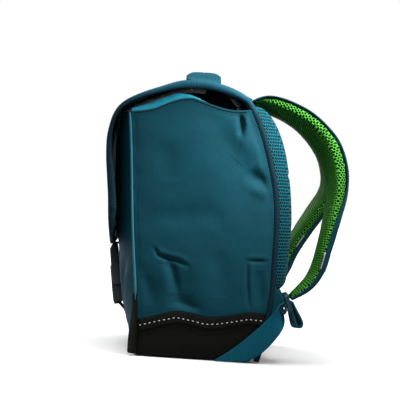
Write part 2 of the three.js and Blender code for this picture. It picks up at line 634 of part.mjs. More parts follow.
// The bound edge round the lid's two lower corners and along its front end.
const HEM_TURN = { steps: 7, part: 0.8, start: 0.02 };
function lidHem() {
  const rings = [];
  const offset = BAG.gap + BINDING.thick / 2;
  const radius = LID.cornerRadius;
  const from = cornerShare + (BAG.gap * 1.5) / lidLength;
  const push = (x, share, alongX, alongLine) => {
    const outer = lidPlace(share, x, -BINDING.lift);
    const turned = Math.min(1, (share - cornerShare) / (HEM_TURN.part * (1 - cornerShare)));
    const height = mix(lidEdge(cornerShare), LID.hemHeight, turned);
    const tangent = lidLine.getTangentAt(share);
    const outwards = outer.clone().sub(lidPlace(share, x, LID.hemHeight)).normalize();
    const sideways = vec(alongX, tangent.x * alongLine, tangent.y * alongLine);
    const centre = outer.addScaledVector(outwards, -height / 2).addScaledVector(sideways, offset);
    rings.push(ring(centre, sideways, BINDING.thick / 2, outwards, height / 2, HEM));
  };
  const corner = (sign, i) => {
    const angle = mix(HEM_TURN.start, Math.PI / 2, i / HEM_TURN.steps);
    const share = Math.max(from, cornerShare + (Math.sin(angle) * radius) / lidLength);
    const x = sign * (lidHalf - radius + Math.cos(angle) * radius);
    push(x, Math.min(1, share), sign * Math.cos(angle), Math.sin(angle));
  };
  for (let i = 0; i <= HEM_TURN.steps; i++) corner(1, i);
  for (let i = HEM_TURN.steps; i >= 0; i--) corner(-1, i);
  return loft(rings);
}

// The thin gathered lining that rises inside the mouth, under the lid: how square it is seen from above,
// how its pleats deepen upwards, and the shares across the side where its foot and its front lip take their
// height.
const COLLAR_SHAPE = { square: 5, pleatGrowth: 1.5, pleatStart: 0.15, lowAt: 0.88, lipAt: 0.1 };
const COLLAR_STEPS = { around: 48, up: 3 };
function collarPlace(around, t, inset) {
  const angle = around * Math.PI * 2;
  const [c, s] = [Math.cos(angle), Math.sin(angle)];
  const power = COLLAR_SHAPE.square;
  const square = Math.pow(Math.pow(Math.abs(c), power) + Math.pow(Math.abs(s), power), -1 / power);
  const low = edgeTop(COLLAR_SHAPE.lowAt) * BAG.height - COLLAR.drop;
  const pleatRoom = PLEATS.depth * Math.min(1, t * COLLAR_SHAPE.pleatGrowth + COLLAR_SHAPE.pleatStart);
  const pleat = Math.cos(angle * PLEATS.count) * pleatRoom;
  const reach = t * COLLAR.reach + inset + pleat + pleatRoom + COLLAR.inset;
  const front = frontSeam(low) + BAG.cloth + reach;
  const back = backSeam(low + t * COLLAR.fall) - BAG.cloth - reach;
  const x = c * square * (half - BAG.cloth - reach);
  const y = mix(front, back, (s * square + 1) / 2);
  const lid = lidUnder(y);
  const rise = Math.sin((t * Math.PI) / 2);
  const backwards = Math.max(0, s * square) ** 2;
  const lip = edgeTop(COLLAR_SHAPE.lipAt) * BAG.height + COLLAR.lip;
  const top = mix(lip, lid - COLLAR.underLid, backwards);
  return vec(x, y, mix(low, Math.min(top, lid - COLLAR.underLid), rise) - inset * t);
}
// The height of the lid's underside above the mouth, at a place from front to back.
const LID_READINGS_STEPS = 40;
const LID_TOP_END = 0.6; // share of the lid's length that lies above the mouth
function lidUnder(y) {
  const at = (i) => lidPlace((i / LID_READINGS_STEPS) * LID_TOP_END, 0, LID.thick);
  const places = Array.from({ length: LID_READINGS_STEPS + 1 }, (_, i) => at(i));
  const next = places.findIndex((place) => place.y <= y);
  if (next <= 0) return places.at(next).z;
  const [a, b] = [places[next - 1], places[next]];
  return mix(a.z, b.z, (a.y - y) / (a.y - b.y));
}
function collar() {
  const face = (inset) => (around, t) => collarPlace(around, t, inset);
  return wall(face(0), face(COLLAR.cloth), COLLAR_STEPS.around, COLLAR_STEPS.up, true);
}

// The carrying handle: a flat band that arches across the lid's top on two sewn feet, with the flat parts
// of its arch as shares of the foot's length.
const HANDLE_ARCH = { crown: 0.4, foot: 1.2, risen: 0.8 };
function handle() {
  const rings = [];
  const steps = 14;
  const slopeAt = (y) => (lidUnder(y + LID.thick) - lidUnder(y - LID.thick)) / (2 * LID.thick);
  const footTop = lidUnder(HANDLE.deep) + LID.thick;
  for (let i = 0; i <= steps; i++) {
    const x = mix(-HANDLE.span / 2, HANDLE.span / 2, i / steps);
    const fromCrown = Math.max(0, Math.abs(x) - HANDLE.foot * HANDLE_ARCH.crown);
    const inFromFoot = Math.max(0, 1 - fromCrown / (HANDLE.span / 2 - HANDLE.foot * HANDLE_ARCH.foot));
    const rise = THREE.MathUtils.smoothstep(inFromFoot, 0, HANDLE_ARCH.risen);
    const tilt = Math.atan(slopeAt(HANDLE.deep)) * (1 - rise);
    const outwards = vec(0, -Math.sin(tilt), Math.cos(tilt));
    const sideways = vec(0, Math.cos(tilt), Math.sin(tilt));
    const foot = footTop + BAG.gap + HANDLE.seam + HANDLE.thick / 2;
    const centre = vec(x, HANDLE.deep, foot + rise * (HANDLE.rise - HANDLE.thick - HANDLE.seam));
    rings.push(ring(centre, sideways, HANDLE.wide / 2, outwards, HANDLE.thick / 2, SOFT));
  }
  return loft(rings);
}

// A shoulder strap's line and frame at a share of its length.
function strapFrames(side) {
  const sign = SIDES[side];
  const route = STRAP_ROUTE[side];
  const curve = new THREE.CatmullRomCurve3(
    route.map((row) => vec(sign * row.side * half, row.deep * BAG.depth, row.up * BAG.height)),
  );
  const shares = route.map((_, i) => i / (route.length - 1));
  const of = (name) => {
    const values = new THREE.LinearInterpolant(shares, route.map((row) => row[name]), 1);
    return (t) => values.evaluate(t)[0];
  };
  const [wide, full, lean] = ["wide", "full", "lean"].map(of);
  return (t) => {
    const centre = curve.getPoint(t);
    const tangent = curve.getTangent(t);
    const sideways = vec(1, 0, 0).projectOnPlane(tangent).normalize();
    const inwards = tangent.clone().cross(sideways).normalize();
    const angle = THREE.MathUtils.degToRad(-lean(t));
    sideways.applyAxisAngle(tangent, angle);
    inwards.applyAxisAngle(tangent, angle);
    return { centre, sideways, inwards, half: (wide(t) * STRAP.wide) / 2, pad: full(t) * STRAP.pad };
  };
}
// Outlines of the pad and of the cover: across as a share of half the breadth, and out from their joint as
// a share.
const PAD_SECTION = [[-0.97, 0], [0.97, 0], [1, 0.4], [0.9, 0.8], [0.5, 1], [-0.5, 1], [-0.9, 0.8], [-1, 0.4]];
const FLAT_OUT = [[-0.93, 0], [-0.93, 1], [0.93, 1], [0.93, 0]];
const COVER_SECTION = [[-1, 0], [1, 0], [1.03, 0.6], [0.95, 1], [-0.95, 1], [-1.03, 0.6]];

// One layer of a strap, from a share of its length to another. The layer starts at "from" millimetres from
// the strap's outer face and is "thick" millimetres thick, towards the wearer when the sign is 1.
function strapLayer(side, section, startShare, endShare, steps, from, thick, sign) {
  const frame = strapFrames(side);
  const rings = [];
  for (let i = 0; i <= steps; i++) {
    const place = frame(mix(startShare, endShare, i / steps));
    const whole = STRAP.cover + STRAP.gap + place.pad;
    const base = place.centre.clone().addScaledVector(place.inwards, from(place) - whole / 2);
    rings.push(
      section.map(([a, b]) =>
        base
          .clone()
          .addScaledVector(place.sideways, a * place.half)
          .addScaledVector(place.inwards, sign * b * thick(place)),
      ),
    );
  }
  return loft(rings);
}
const strapPad = (side) =>
  strapLayer(side, PAD_SECTION, 0, 1, STRAP_STEPS, () => STRAP.cover + STRAP.gap, (place) => place.pad, 1);
const strapCover = (side) =>
  strapLayer(side, COVER_SECTION, 0, 1, STRAP_STEPS, () => STRAP.cover, () => STRAP.cover, -1);
const strapReflector = (side) =>
  strapLayer(side, FLAT_OUT, PATCH_STEPS.from / STRAP_STEPS, PATCH_STEPS.to / STRAP_STEPS,
    PATCH_STEPS.to - PATCH_STEPS.from, () => -BAG.gap, () => STRAP.reflectorThick, -1);

// The lower webbing, a flat band between two edge lines, which turns from the bag's side to face the ladder
// lock.
const WEBBING_STEPS = { lower: 16, tail: 18 };
const webbingOff = BAG.sideSwell / 4 + TAPE.thick + 2 * BAG.gap;
function lowerWebbing(sign) {
  const edge = (name) =>
    new THREE.CatmullRomCurve3(
      WEBBING_EDGES.map((row) =>
        vec(
          sign * (row[name + "Side"] * half + webbingOff),
          row[name + "Deep"] * BAG.depth,
          row[name + "Up"] * BAG.height,
        ),
      ),
    );
  const [upper, lower] = [edge("upper"), edge("lower")];
  const place = (across, t) => upper.getPoint(t).lerp(lower.getPoint(t), across);
  const normal = (t) => {
    const along = upper.getTangent(t).add(lower.getTangent(t));
    return lower.getPoint(t).sub(upper.getPoint(t)).cross(along).setLength(sign);
  };
  const face = (lift) => (across, t) => place(across, t).addScaledVector(normal(t), lift);
  return wall(face(WEBBING.thick), face(0), 1, WEBBING_STEPS.lower);
}

const lockCentre = (sign) =>
  vec(sign * LOCK_PLACE.side * half, LOCK_PLACE.deep * BAG.depth, LOCK_PLACE.up * BAG.height);

const slotHole = (reach, low, high) => [[-reach, low], [-reach, high], [reach, high], [reach, low]];
function ladderLock(sign) {
  const [w, h] = [LOCK.wide / 2, LOCK.tall / 2];
  const shape = new THREE.Shape();
  const [a, b] = [w - LOCK.corner, h - LOCK.corner];
  const corners = [[-a, -h], [a, -h], [w, -b], [w, b], [a, h], [-a, h], [-w, b], [-w, -b]];
  shape.setFromPoints(corners.map(([x, y]) => new THREE.Vector2(x, y)));
  const slot = (low, high) => {
    const hole = new THREE.Path();
    const reach = w - LOCK.slotEnd;
    hole.setFromPoints(slotHole(reach, low, high).map(([x, y]) => new THREE.Vector2(x, y)));
    shape.holes.push(hole);
  };
  slot(-h + LOCK.bar, -LOCK.bar / 2);
  slot(LOCK.bar / 2, h - LOCK.bar);
  const geometry = new THREE.ExtrudeGeometry(shape, { depth: LOCK.thick, bevelEnabled: false });
  geometry.translate(0, 0, -LOCK.thick / 2);
  geometry.rotateX(Math.PI / 2 + LOCK.tilt);
  return geometry.translate(...lockCentre(sign).toArray());
}

const TAIL_LEAN = { back: 0.7, up: 0.4 };
function webbingTail(sign) {
  const curve = new THREE.CatmullRomCurve3(
    TAIL_LINE.map((row) => vec(row.ahead, row.deep * BAG.depth, row.up * BAG.height)),
  );
  const centre = lockCentre(sign).x;
  const place = (across, t) => {
    const middle = curve.getPoint(t);
    const side = across - 0.5;
    const ahead = side * middle.x * WEBBING.wide;
    const along = centre + sign * side * WEBBING.wide;
    return vec(along, middle.y + ahead * TAIL_LEAN.back, middle.z + ahead * TAIL_LEAN.up);
  };
  const normal = (t) => {
    const tangent = curve.getTangent(t);
    return vec(0, -tangent.z, tangent.y).normalize();
  };
  const face = (lift) => (across, t) => place(across, t).addScaledVector(normal(t), lift);
  return wall(face(WEBBING.tailThick / 2), face(-WEBBING.tailThick / 2), 1, WEBBING_STEPS.tail);
}

// The three-cornered cloth tab between the back seam and the ladder lock.
function cornerWing(sign) {
  const seam = [];
  const steps = 6;
  for (let i = 0; i <= steps; i++) {
    const z = mix(WING.top, WING.low, i / steps) * BAG.height;
    seam.push(new THREE.Vector2(backSeam(z) + BINDING.alongSeam + 2.5 * BAG.gap, z));
  }
  seam.push(new THREE.Vector2(seam[0].x + WING.reach, WING.tip * BAG.height));
  const shape = new THREE.Shape(seam);
  const geometry = new THREE.ExtrudeGeometry(shape, { depth: WING.thick, bevelEnabled: false });
  geometry.rotateX(Math.PI / 2).rotateZ(Math.PI / 2);
  return geometry.translate(sign * (half - BINDING.thick / 2) - WING.thick / 2, 0, 0);
}

// The buckle stands in the plane of the swelling front: shapes are drawn upright and tilted to it.
const lidEnd = LID_LINE.at(-1).up * BAG.height;
const buckleLow = lidEnd - BUCKLE.underLid - BUCKLE.tall;
const buckleTilt = Math.atan((frontFace(buckleLow) - frontFace(buckleLow + BUCKLE.tall)) / BUCKLE.tall);
const buckleMiddle = buckleLow + BUCKLE.tall / 2;
const frontBehind = [buckleLow, buckleMiddle, buckleLow + BUCKLE.tall].map(frontFace);
const buckleBack = Math.min(...frontBehind) - BUCKLE.standOff;
const ontoFront = new THREE.Matrix4()
  .makeTranslation(0, buckleBack, buckleMiddle)
  .multiply(new THREE.Matrix4().makeRotationX(buckleTilt))
  .multiply(new THREE.Matrix4().makeTranslation(0, 0, -BUCKLE.tall / 2))
  .multiply(new THREE.Matrix4().makeRotationX(Math.PI / 2));
const standOnFront = (geometry) => geometry.applyMatrix4(ontoFront);
// A place in the buckle's middle plane, so far above its lower end and so far out from its back.
function onBuckle(up, out) {
  const place = vec(0, up, out).applyMatrix4(ontoFront);
  return [place.y, place.z];
}
function plate(points, holes, thick) {
  const shape = new THREE.Shape(points.map(([x, y]) => new THREE.Vector2(x, y)));
  for (const hole of holes) shape.holes.push(new THREE.Path(hole.map(([x, y]) => new THREE.Vector2(x, y))));
  return new THREE.ExtrudeGeometry(shape, { depth: thick, bevelEnabled: false });
}
const slotReach = TONGUE.wide / 2 - 2 * BUCKLE.edge;
function buckleSocket() {
  const w = BUCKLE.wide / 2;
  const top = BUCKLE.tall * (1 - BUCKLE.prongPart) - BUCKLE.fit;
  const notch = top - BUCKLE.tall * BUCKLE.armPart;
  const inner = w - BUCKLE.arm - BUCKLE.fit;
  const [foot, side] = [w - BUCKLE.corner, w - BUCKLE.edge];
  const low = [[-foot, 0], [foot, 0], [side, BUCKLE.arm - BUCKLE.fit], [w, notch]];
  const high = [[inner, notch], [inner, top], [-inner, top], [-inner, notch]];
  const points = [...low, ...high, [-w, notch], [-side, BUCKLE.arm - BUCKLE.fit]];
  const slot = slotHole(slotReach, BUCKLE.bar, BUCKLE.bar + BUCKLE.slot);
  return standOnFront(plate(points, [slot], BUCKLE.thick));
}

function buckleProng() {
  const w = BUCKLE.wide / 2;
  const low = BUCKLE.tall * (1 - BUCKLE.prongPart);
  const tip = low - BUCKLE.tall * BUCKLE.armPart;
  const inner = w - BUCKLE.arm;
  const side = w - BUCKLE.edge;
  const armEnd = tip + BUCKLE.arm - BUCKLE.fit;
  const shoulder = BUCKLE.tall - BUCKLE.arm + BUCKLE.fit;
  const leftArm = [[-w, low], [-w, armEnd], [-side, tip], [-inner, tip + 2 * BUCKLE.fit], [-inner, low]];
  const rightArm = leftArm.map(([x, y]) => [-x, y]).reverse();
  const top = [[w - 4 * BUCKLE.fit, shoulder], [w - BUCKLE.bar, BUCKLE.tall]];
  const points = [...leftArm, ...rightArm, ...top, ...top.map(([x, y]) => [-x, y]).reverse()];
  const slot = slotHole(slotReach, BUCKLE.tall - BUCKLE.bar - BUCKLE.slot, BUCKLE.tall - BUCKLE.bar);
  return standOnFront(plate(points, [slot], BUCKLE.prongThick));
}

// A flat band whose middle line runs up the front, given as places [front to back, up].
const BAND_STEPS = 12;
function frontBand(line, wide, thick) {
  const curve = new THREE.CatmullRomCurve3(line.map(([y, z]) => vec(0, y, z)));
  const face = (lift) => (across, t) => {
    const tangent = curve.getTangent(t);
    const normal = vec(0, -tangent.z, tangent.y).normalize();
    return curve.getPoint(t).add(vec(mix(-wide / 2, wide / 2, across), 0, 0)).addScaledVector(normal, lift);
  };
  return wall(face(thick / 2), face(-thick / 2), 1, BAND_STEPS);
}

function buckleTongue() {
  const sewn = lidPlace(TONGUE.sewn, 0, LID.thick + BAG.gap + TONGUE.thick / 2);
  const past = lidPlace(1, 0, LID.hemHeight + 3 * BAG.gap + TONGUE.thick);
  const into = BUCKLE.prongThick / 2;
  return frontBand(
    [
      [sewn.y, sewn.z],
      [mix(sewn.y, past.y, 0.45), mix(sewn.z, past.z, 0.4)],
      [past.y, past.z],
      [past.y, past.z - BINDING.thick - 3 * BAG.gap],
      onBuckle(BUCKLE.tall + 2.5 * BAG.gap, into),
    ],
    TONGUE.wide,
    TONGUE.thick,
  );
}

function buckleAnchor() {
  const low = BOOT.frontHeight + TONGUE.aboveBoot;
  const off = BAG.gap * 1.5 + TONGUE.thick / 2;
  const bowed = (part, bow) => {
    const z = mix(low, buckleLow, part);
    return [frontFace(z) - off - TONGUE.bow * bow, z];
  };
  return frontBand(
    [
      bowed(0, 0),
      bowed(0.3, 0.8),
      bowed(0.7, 1),
      onBuckle(-2 * BAG.gap, BUCKLE.thick / 2),
    ],
    TONGUE.wide,
    TONGUE.thick,
  );
}

for (const [side, sign] of Object.entries(SIDES)) {
  add(`side_panel_${side}`, sidePanel(sign), COLOURS.petrol);
  add(`rim_${side}`, rim(sign), COLOURS.lightTeal);
  add(`side_tape_${side}`, sideTape(sign), COLOURS.black);
  add(`corner_guard_${side}`, cornerGuard(sign), COLOURS.black, 0.6);
  add(`piping_${side}`, piping(sign), COLOURS.lightTeal, 0.6);
  add(`edge_binding_${side}`, edgeBinding(sign), COLOURS.bindingBlue);
  add(`strap_pad_${side}`, strapPad(side), COLOURS.meshGreen, 0.9);
  add(`strap_cover_${side}`, strapCover(side), COLOURS.petrol);
  add(`strap_reflector_${side}`, strapReflector(side), COLOURS.silver, 0.35);
  add(`lower_webbing_${side}`, lowerWebbing(sign), COLOURS.petrol, 0.7);
  add(`ladder_lock_${side}`, ladderLock(sign), COLOURS.plastic, 0.45);
  add(`webbing_tail_${side}`, webbingTail(sign), COLOURS.petrol, 0.7);
  add(`corner_wing_${side}`, cornerWing(sign), COLOURS.navy);
}
add("front_panel", frontPanel(), COLOURS.petrol);
add("back_wall", backWall(), COLOURS.petrol);
add("boot", boot(), COLOURS.black, 0.6);
add("back_pad", backPad(), COLOURS.meshTeal, 0.9);
add("lid_top", lidTop(), COLOURS.petrol);
add("lid_front", lidFront(), COLOURS.navy);
add("lid_hem", lidHem(), COLOURS.bindingBlue);
add("collar", collar(), COLOURS.lining, 0.7);
add("handle", handle(), COLOURS.lightTeal);
add("buckle_socket", buckleSocket(), COLOURS.plastic, 0.4);
add("buckle_prong", buckleProng(), COLOURS.plastic, 0.4);
add("buckle_tongue", buckleTongue(), COLOURS.black, 0.7);
add("buckle_anchor", buckleAnchor(), COLOURS.black, 0.7);

export default parts;
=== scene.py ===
"""A school backpack of the satchel kind: its cloth, padding, webbing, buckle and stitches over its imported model."""

import json
import math

import bpy
import numpy as np
from mathutils import Matrix, Vector, noise
from mathutils.bvhtree import BVHTree

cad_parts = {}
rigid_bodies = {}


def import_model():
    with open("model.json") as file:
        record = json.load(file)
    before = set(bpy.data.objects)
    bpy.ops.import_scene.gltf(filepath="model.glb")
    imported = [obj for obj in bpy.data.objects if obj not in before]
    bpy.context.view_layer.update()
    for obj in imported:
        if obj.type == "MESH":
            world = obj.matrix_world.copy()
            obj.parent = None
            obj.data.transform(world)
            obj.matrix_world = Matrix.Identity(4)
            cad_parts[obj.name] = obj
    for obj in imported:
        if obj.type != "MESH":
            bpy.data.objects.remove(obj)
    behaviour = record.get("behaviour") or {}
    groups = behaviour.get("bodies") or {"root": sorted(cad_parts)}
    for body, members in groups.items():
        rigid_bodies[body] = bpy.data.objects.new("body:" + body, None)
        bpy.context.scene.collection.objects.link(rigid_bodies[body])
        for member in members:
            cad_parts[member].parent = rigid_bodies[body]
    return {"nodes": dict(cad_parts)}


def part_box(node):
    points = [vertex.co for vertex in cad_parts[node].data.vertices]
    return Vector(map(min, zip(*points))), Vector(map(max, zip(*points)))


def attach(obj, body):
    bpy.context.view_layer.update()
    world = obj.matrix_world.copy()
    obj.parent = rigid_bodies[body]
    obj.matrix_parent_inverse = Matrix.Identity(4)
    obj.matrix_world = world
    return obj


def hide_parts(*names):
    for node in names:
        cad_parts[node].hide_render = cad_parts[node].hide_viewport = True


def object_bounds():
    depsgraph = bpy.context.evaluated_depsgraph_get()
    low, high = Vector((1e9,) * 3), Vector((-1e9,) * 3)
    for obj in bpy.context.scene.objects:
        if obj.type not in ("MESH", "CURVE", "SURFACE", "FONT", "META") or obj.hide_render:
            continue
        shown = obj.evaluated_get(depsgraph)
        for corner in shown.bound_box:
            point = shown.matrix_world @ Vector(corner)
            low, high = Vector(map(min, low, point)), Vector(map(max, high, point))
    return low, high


bl_info = {
    "name": "School backpack",
    "version": (1, 0, 0),
    "blender": (4, 5, 0),
    "location": "3D View > Sidebar > Backpack",
    "description": "Builds a school backpack's cloth, padding, webbing, buckle and stitches",
    "category": "Object",
}

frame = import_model()
CAD_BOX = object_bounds()
SIDES = {"right": 1, "left": -1}

# Seam lines of the body seen from the side, as (front to back, up) in millimetres.
FRONT_SEAM = [(-81.7, 0), (-81.7, 30.6), (-82.5, 59.2), (-85.3, 87.9), (-91.4, 141.3), (-96.9, 197.1), (-98.8, 223.9),
              (-101.3, 252.1), (-104.5, 291.8), (-107.5, 319), (-109.6, 340), (-111.3, 361)]
BACK_SEAM = [(79.8, 0), (87, 30.6), (92, 59.2), (96, 87.9), (96.5, 141.3), (96.1, 197.1), (94.1, 223.9), (88, 252.1),
             (77, 291.8), (67.1, 319), (57, 340), (47.1, 361)]
# The lid's outer line from its rear end over the top and down the front.
LID_LINE = [(57, 360), (36.1, 370.2), (15.2, 377.4), (-13.3, 381.8), (-40.9, 379.3), (-60.8, 372.5), (-100.7, 356),
            (-117.8, 346.9), (-126.9, 338.1), (-132.1, 324.7), (-135.1, 305.6), (-135.7, 278.9), (-132.4, 244.5),
            (-128.4, 210.9), (-125.4, 176.9), (-121.2, 154.7)]
# The side panel's top seam and the boot's wavy edge by the share across the side.
ACROSS = [0, 0.1, 0.2, 0.32, 0.45, 0.54, 0.63, 0.75, 0.88, 1]
TOP_SEAM = [331.6, 333.9, 337.7, 346.9, 353.7, 355.3, 350.3, 343.8, 341.1, 343.8]
BOOT_EDGE = [50, 55, 60.4, 65.7, 62.3, 59.2, 60, 64.2, 69.1, 68]
# Places in the tables and on the meshes are in millimetres, Blender's own lengths in metres.
MM = 1000
# The plane beside the bag from which stitches are laid inwards, and half the widths of front, boot and lid.
SIDE_PLANE = 138
HALF_FRONT, HALF_BOOT, HALF_LID = 132.6, 140.6, 130.6
# The handle's middle front to back, and half its width.
HANDLE_MIDDLE, HANDLE_HALF = -9.5, 25
# How far the back pad's long seams are from its middle, and the heights of its cross seams.
PAD_SEAM = 103
PAD_CROSS_SEAMS = (168, 262)
# How far the bright stitches and the boot's two seams are below the boot's wavy edge.
BRIGHT_DROP, BOOT_SEAM_DROPS = 9.5, (19, 22.5)
# Steps, pressure and quality of the padding's cloth simulation.
SWELL_STEPS, SWELL_PRESSURE, SWELL_QUALITY = 20, 4.0, 5
# Length and thickness of each kind of stitch, and a seam cord's radius, in metres.
BRIGHT_STITCH, HANDLE_STITCH, PAD_STITCH = (0.0034, 0.0015), (0.0026, 0.0007), (0.003, 0.0009)
STRAP_STITCH, SEAM_STITCH = (0.0026, 0.0008), (0.0025, 0.0008)
SEAM_CORD = 0.0006
# Shifts that make three unlike noises of one.
NOISE_SHIFTS = (0.0, 17.3, 41.9)
# Middle lines of the shoulder straps, as (sideways, front to back, up).
STRAP_LINE = {
    "right": [(46, 58, 358.5), (46, 72, 363), (47, 84, 360.4), (50, 98, 355.6), (55, 117, 347), (61, 138, 334),
              (66, 153, 321), (72, 166, 304.5), (78, 175, 288), (85, 181.5, 267), (93, 184, 240), (99, 180.5, 212),
              (104, 174.4, 181), (108, 169, 155), (111, 164, 135), (113, 156, 118.5), (115, 145.5, 107),
              (115, 126.5, 92)],
    "left": [(46, 58, 358.5), (46, 72, 363), (47, 84, 360.4), (50, 101, 356.5), (55, 120, 350), (61, 142, 338),
             (66, 161, 322), (72, 177, 303), (78, 188, 282), (85, 193, 258), (93, 189, 234), (99, 177, 214),
             (104, 167, 196), (108, 157, 178), (111, 148, 161), (113, 140, 142), (115, 134.5, 120),
             (115, 127.7, 94.5)],
}
WEBBING_LINE = [(137, 48.5, 1.1), (137, 67, 12.4), (137, 88.5, 32.6), (135, 107, 53.9), (130, 113.8, 66.5),
                (121, 115.3, 77.5), (117, 120, 84.9)]
TAIL_LINE = [(115, 129.3, 86.3), (115, 134.1, 76), (115, 140.5, 63.4), (115, 143.2, 56.2), (115, 141.3, 51.6),
             (115, 136.9, 52.3), (115, 133.3, 59.2), (115, 129.7, 68)]

# Folds of the filled side: places along each as (front to back, up), how deep, how wide, and how far the cloth beside
# it stands proud, on the upper or front side where the number is above zero.
SIDE_FOLDS = [
    {"places": [(-64, 148), (-57, 139), (-44, 135.5), (-30, 133), (-17, 127)], "deep": 2.2, "wide": 3.0, "lip": 0.6},
    {"places": [(-46, 134), (-37, 121), (-33, 105), (-29, 88)], "deep": 2.5, "wide": 6.0, "lip": -0.9},
    {"places": [(-34, 92), (-26, 79), (-12, 68), (4, 62)], "deep": 2.8, "wide": 12.0, "lip": 0.4},
    {"places": [(40, 346), (42, 334), (44, 322), (44, 308)], "deep": 3.6, "wide": 4.0, "lip": 1.2},
    {"places": [(24, 336), (38, 318), (52, 300), (72, 284)], "deep": -2.4, "wide": 15.0, "lip": 0.0},
    {"places": [(56, 262), (66, 254), (78, 249), (92, 247)], "deep": 2.6, "wide": 9.0, "lip": 1.2},
    {"places": [(60, 238), (74, 234), (90, 230)], "deep": -1.2, "wide": 8.0, "lip": 0.0},
    {"places": [(64, 139), (78, 139.5), (94, 140)], "deep": 1.2, "wide": 2.6, "lip": 0.5},
    {"places": [(64, 139), (66, 108), (70, 74)], "deep": 1.2, "wide": 2.8, "lip": 0.6},
    {"places": [(82, 128), (84, 104), (86, 78)], "deep": 1.8, "wide": 11.0, "lip": 0.0},
    {"places": [(-88, 196), (-60, 190), (-20, 196), (30, 200)], "deep": 1.2, "wide": 16.0, "lip": 0.3},
    {"places": [(-70, 292), (-52, 270), (-48, 240)], "deep": 1.0, "wide": 16.0, "lip": 0.3},
    {"places": [(20, 150), (30, 118), (28, 86)], "deep": 1.0, "wide": 14.0, "lip": 0.3},
    {"places": [(-74, 112), (-66, 90), (-62, 70)], "deep": 1.4, "wide": 9.0, "lip": 0.4},
]
FRONT_FOLDS = [
    {"places": [(-96, 250), (-70, 236), (-46, 240)], "deep": 2.0, "wide": 10.0, "lip": 0.6},
    {"places": [(94, 214), (66, 204), (40, 210)], "deep": 1.8, "wide": 9.0, "lip": 0.6},
    {"places": [(-112, 120), (-84, 104), (-62, 72)], "deep": 2.0, "wide": 11.0, "lip": 0.7},
    {"places": [(110, 132), (86, 110), (70, 70)], "deep": 2.2, "wide": 10.0, "lip": 0.8},
    {"places": [(-34, 132), (-40, 96), (-30, 58)], "deep": 1.4, "wide": 9.0, "lip": 0.4},
    {"places": [(36, 124), (44, 92), (34, 54)], "deep": 1.4, "wide": 9.0, "lip": 0.4},
]
# Flowers on the lid's front: across, along the lid from its fold, radius, petals and the colour's number.
LID_FLOWERS = [
    (-104, 30, 15, 5, 0), (-62, 58, 11, 7, 1), (-20, 26, 13, 6, 2), (28, 62, 16, 5, 1), (70, 28, 12, 6, 0),
    (106, 66, 14, 7, 2), (-92, 98, 12, 6, 2), (-46, 122, 16, 5, 0), (4, 106, 11, 7, 1), (54, 120, 13, 6, 2),
    (98, 132, 12, 5, 1), (-106, 160, 13, 7, 1), (-64, 182, 12, 6, 2), (-12, 164, 15, 6, 0), (38, 178, 11, 5, 1),
    (82, 186, 15, 7, 0), (-36, 222, 12, 5, 1), (14, 226, 13, 7, 2), (60, 232, 12, 6, 0), (-84, 226, 11, 6, 0),
]


class BackpackSizes(bpy.types.PropertyGroup):
    """Sizes that a maker would change."""

    fold_strength: bpy.props.FloatProperty(
        name="Fold strength",
        description="How deep the folds of the filled cloth are",
        default=1.8,
        min=0,
        subtype="FACTOR",
    )
    weave_pitch: bpy.props.FloatProperty(
        name="Weave pitch", description="Distance between two threads, in mm", default=0.9, min=0.3
    )
    mesh_pitch: bpy.props.FloatProperty(
        name="Mesh pitch", description="Distance between two holes of the air mesh, in mm", default=5.0, min=1
    )
    stitch_pitch: bpy.props.FloatProperty(
        name="Stitch pitch", description="Distance between two stitches of the seams", default=0.0034, unit="LENGTH"
    )
    bright_pitch: bpy.props.FloatProperty(
        name="Bright stitch pitch",
        description="Distance between two reflective stitches",
        default=0.0063,
        unit="LENGTH",
    )
    pad_swell: bpy.props.FloatProperty(
        name="Pad swell",
        description="The most that the padding swells in the simulation",
        default=0.0013,
        unit="LENGTH",
    )


def colour_property(name, description, default):
    """A colour that a user may change."""
    return bpy.props.FloatVectorProperty(
        name=name, description=description, default=default, size=3, min=0, max=1, subtype="COLOR"
    )


class BackpackColours(bpy.types.PropertyGroup):
    """Colours of the cloths, threads and webbings."""

    petrol: colour_property("Petrol cloth", "Side, front and strap cloth", (0.0035, 0.045, 0.064))
    # Set lighter for the rim as painted light against the lid's shade; the handle takes a darker copy.
    light_teal: colour_property("Light teal cloth", "Rim and handle", (0.011, 0.175, 0.25))
    navy: colour_property("Navy cloth", "The lid's front", (0.002, 0.01, 0.02))
    binding: colour_property("Binding tape", "Tape round the lid and the back seam", (0.0025, 0.017, 0.026))
    piping: colour_property("Piping", "Piped front seam", (0.02, 0.15, 0.2))
    webbing: colour_property("Petrol webbing", "Lower strap ends", (0.004, 0.1, 0.155))
    mesh_teal: colour_property("Teal mesh", "Back pad", (0.01, 0.155, 0.2))
    mesh_green: colour_property("Green mesh", "Inside of the straps", (0.095, 0.45, 0.048))
    black: colour_property("Black cloth", "Boot and tape", (0.0026, 0.0027, 0.0023))
    reflector: colour_property("Reflective cloth", "Strap patch and bright stitches", (0.42, 0.4, 0.46))


# Mesh helpers


def activate(obj):
    """Selects one object alone."""
    bpy.ops.object.select_all(action="DESELECT")
    obj.select_set(True)
    bpy.context.view_layer.objects.active = obj


def apply_modifier(obj, kind, **settings):
    """Adds a modifier and applies it."""
    activate(obj)
    modifier = obj.modifiers.new(kind.title(), kind)
    for name, value in settings.items():
        setattr(modifier, name, value)
    bpy.ops.object.modifier_apply(modifier=modifier.name)


def subdivide(obj, levels):
    """Smooths a piece by a subdivision surface that is applied."""
    apply_modifier(obj, "SUBSURF", levels=levels, render_levels=levels, boundary_smooth="PRESERVE_CORNERS")


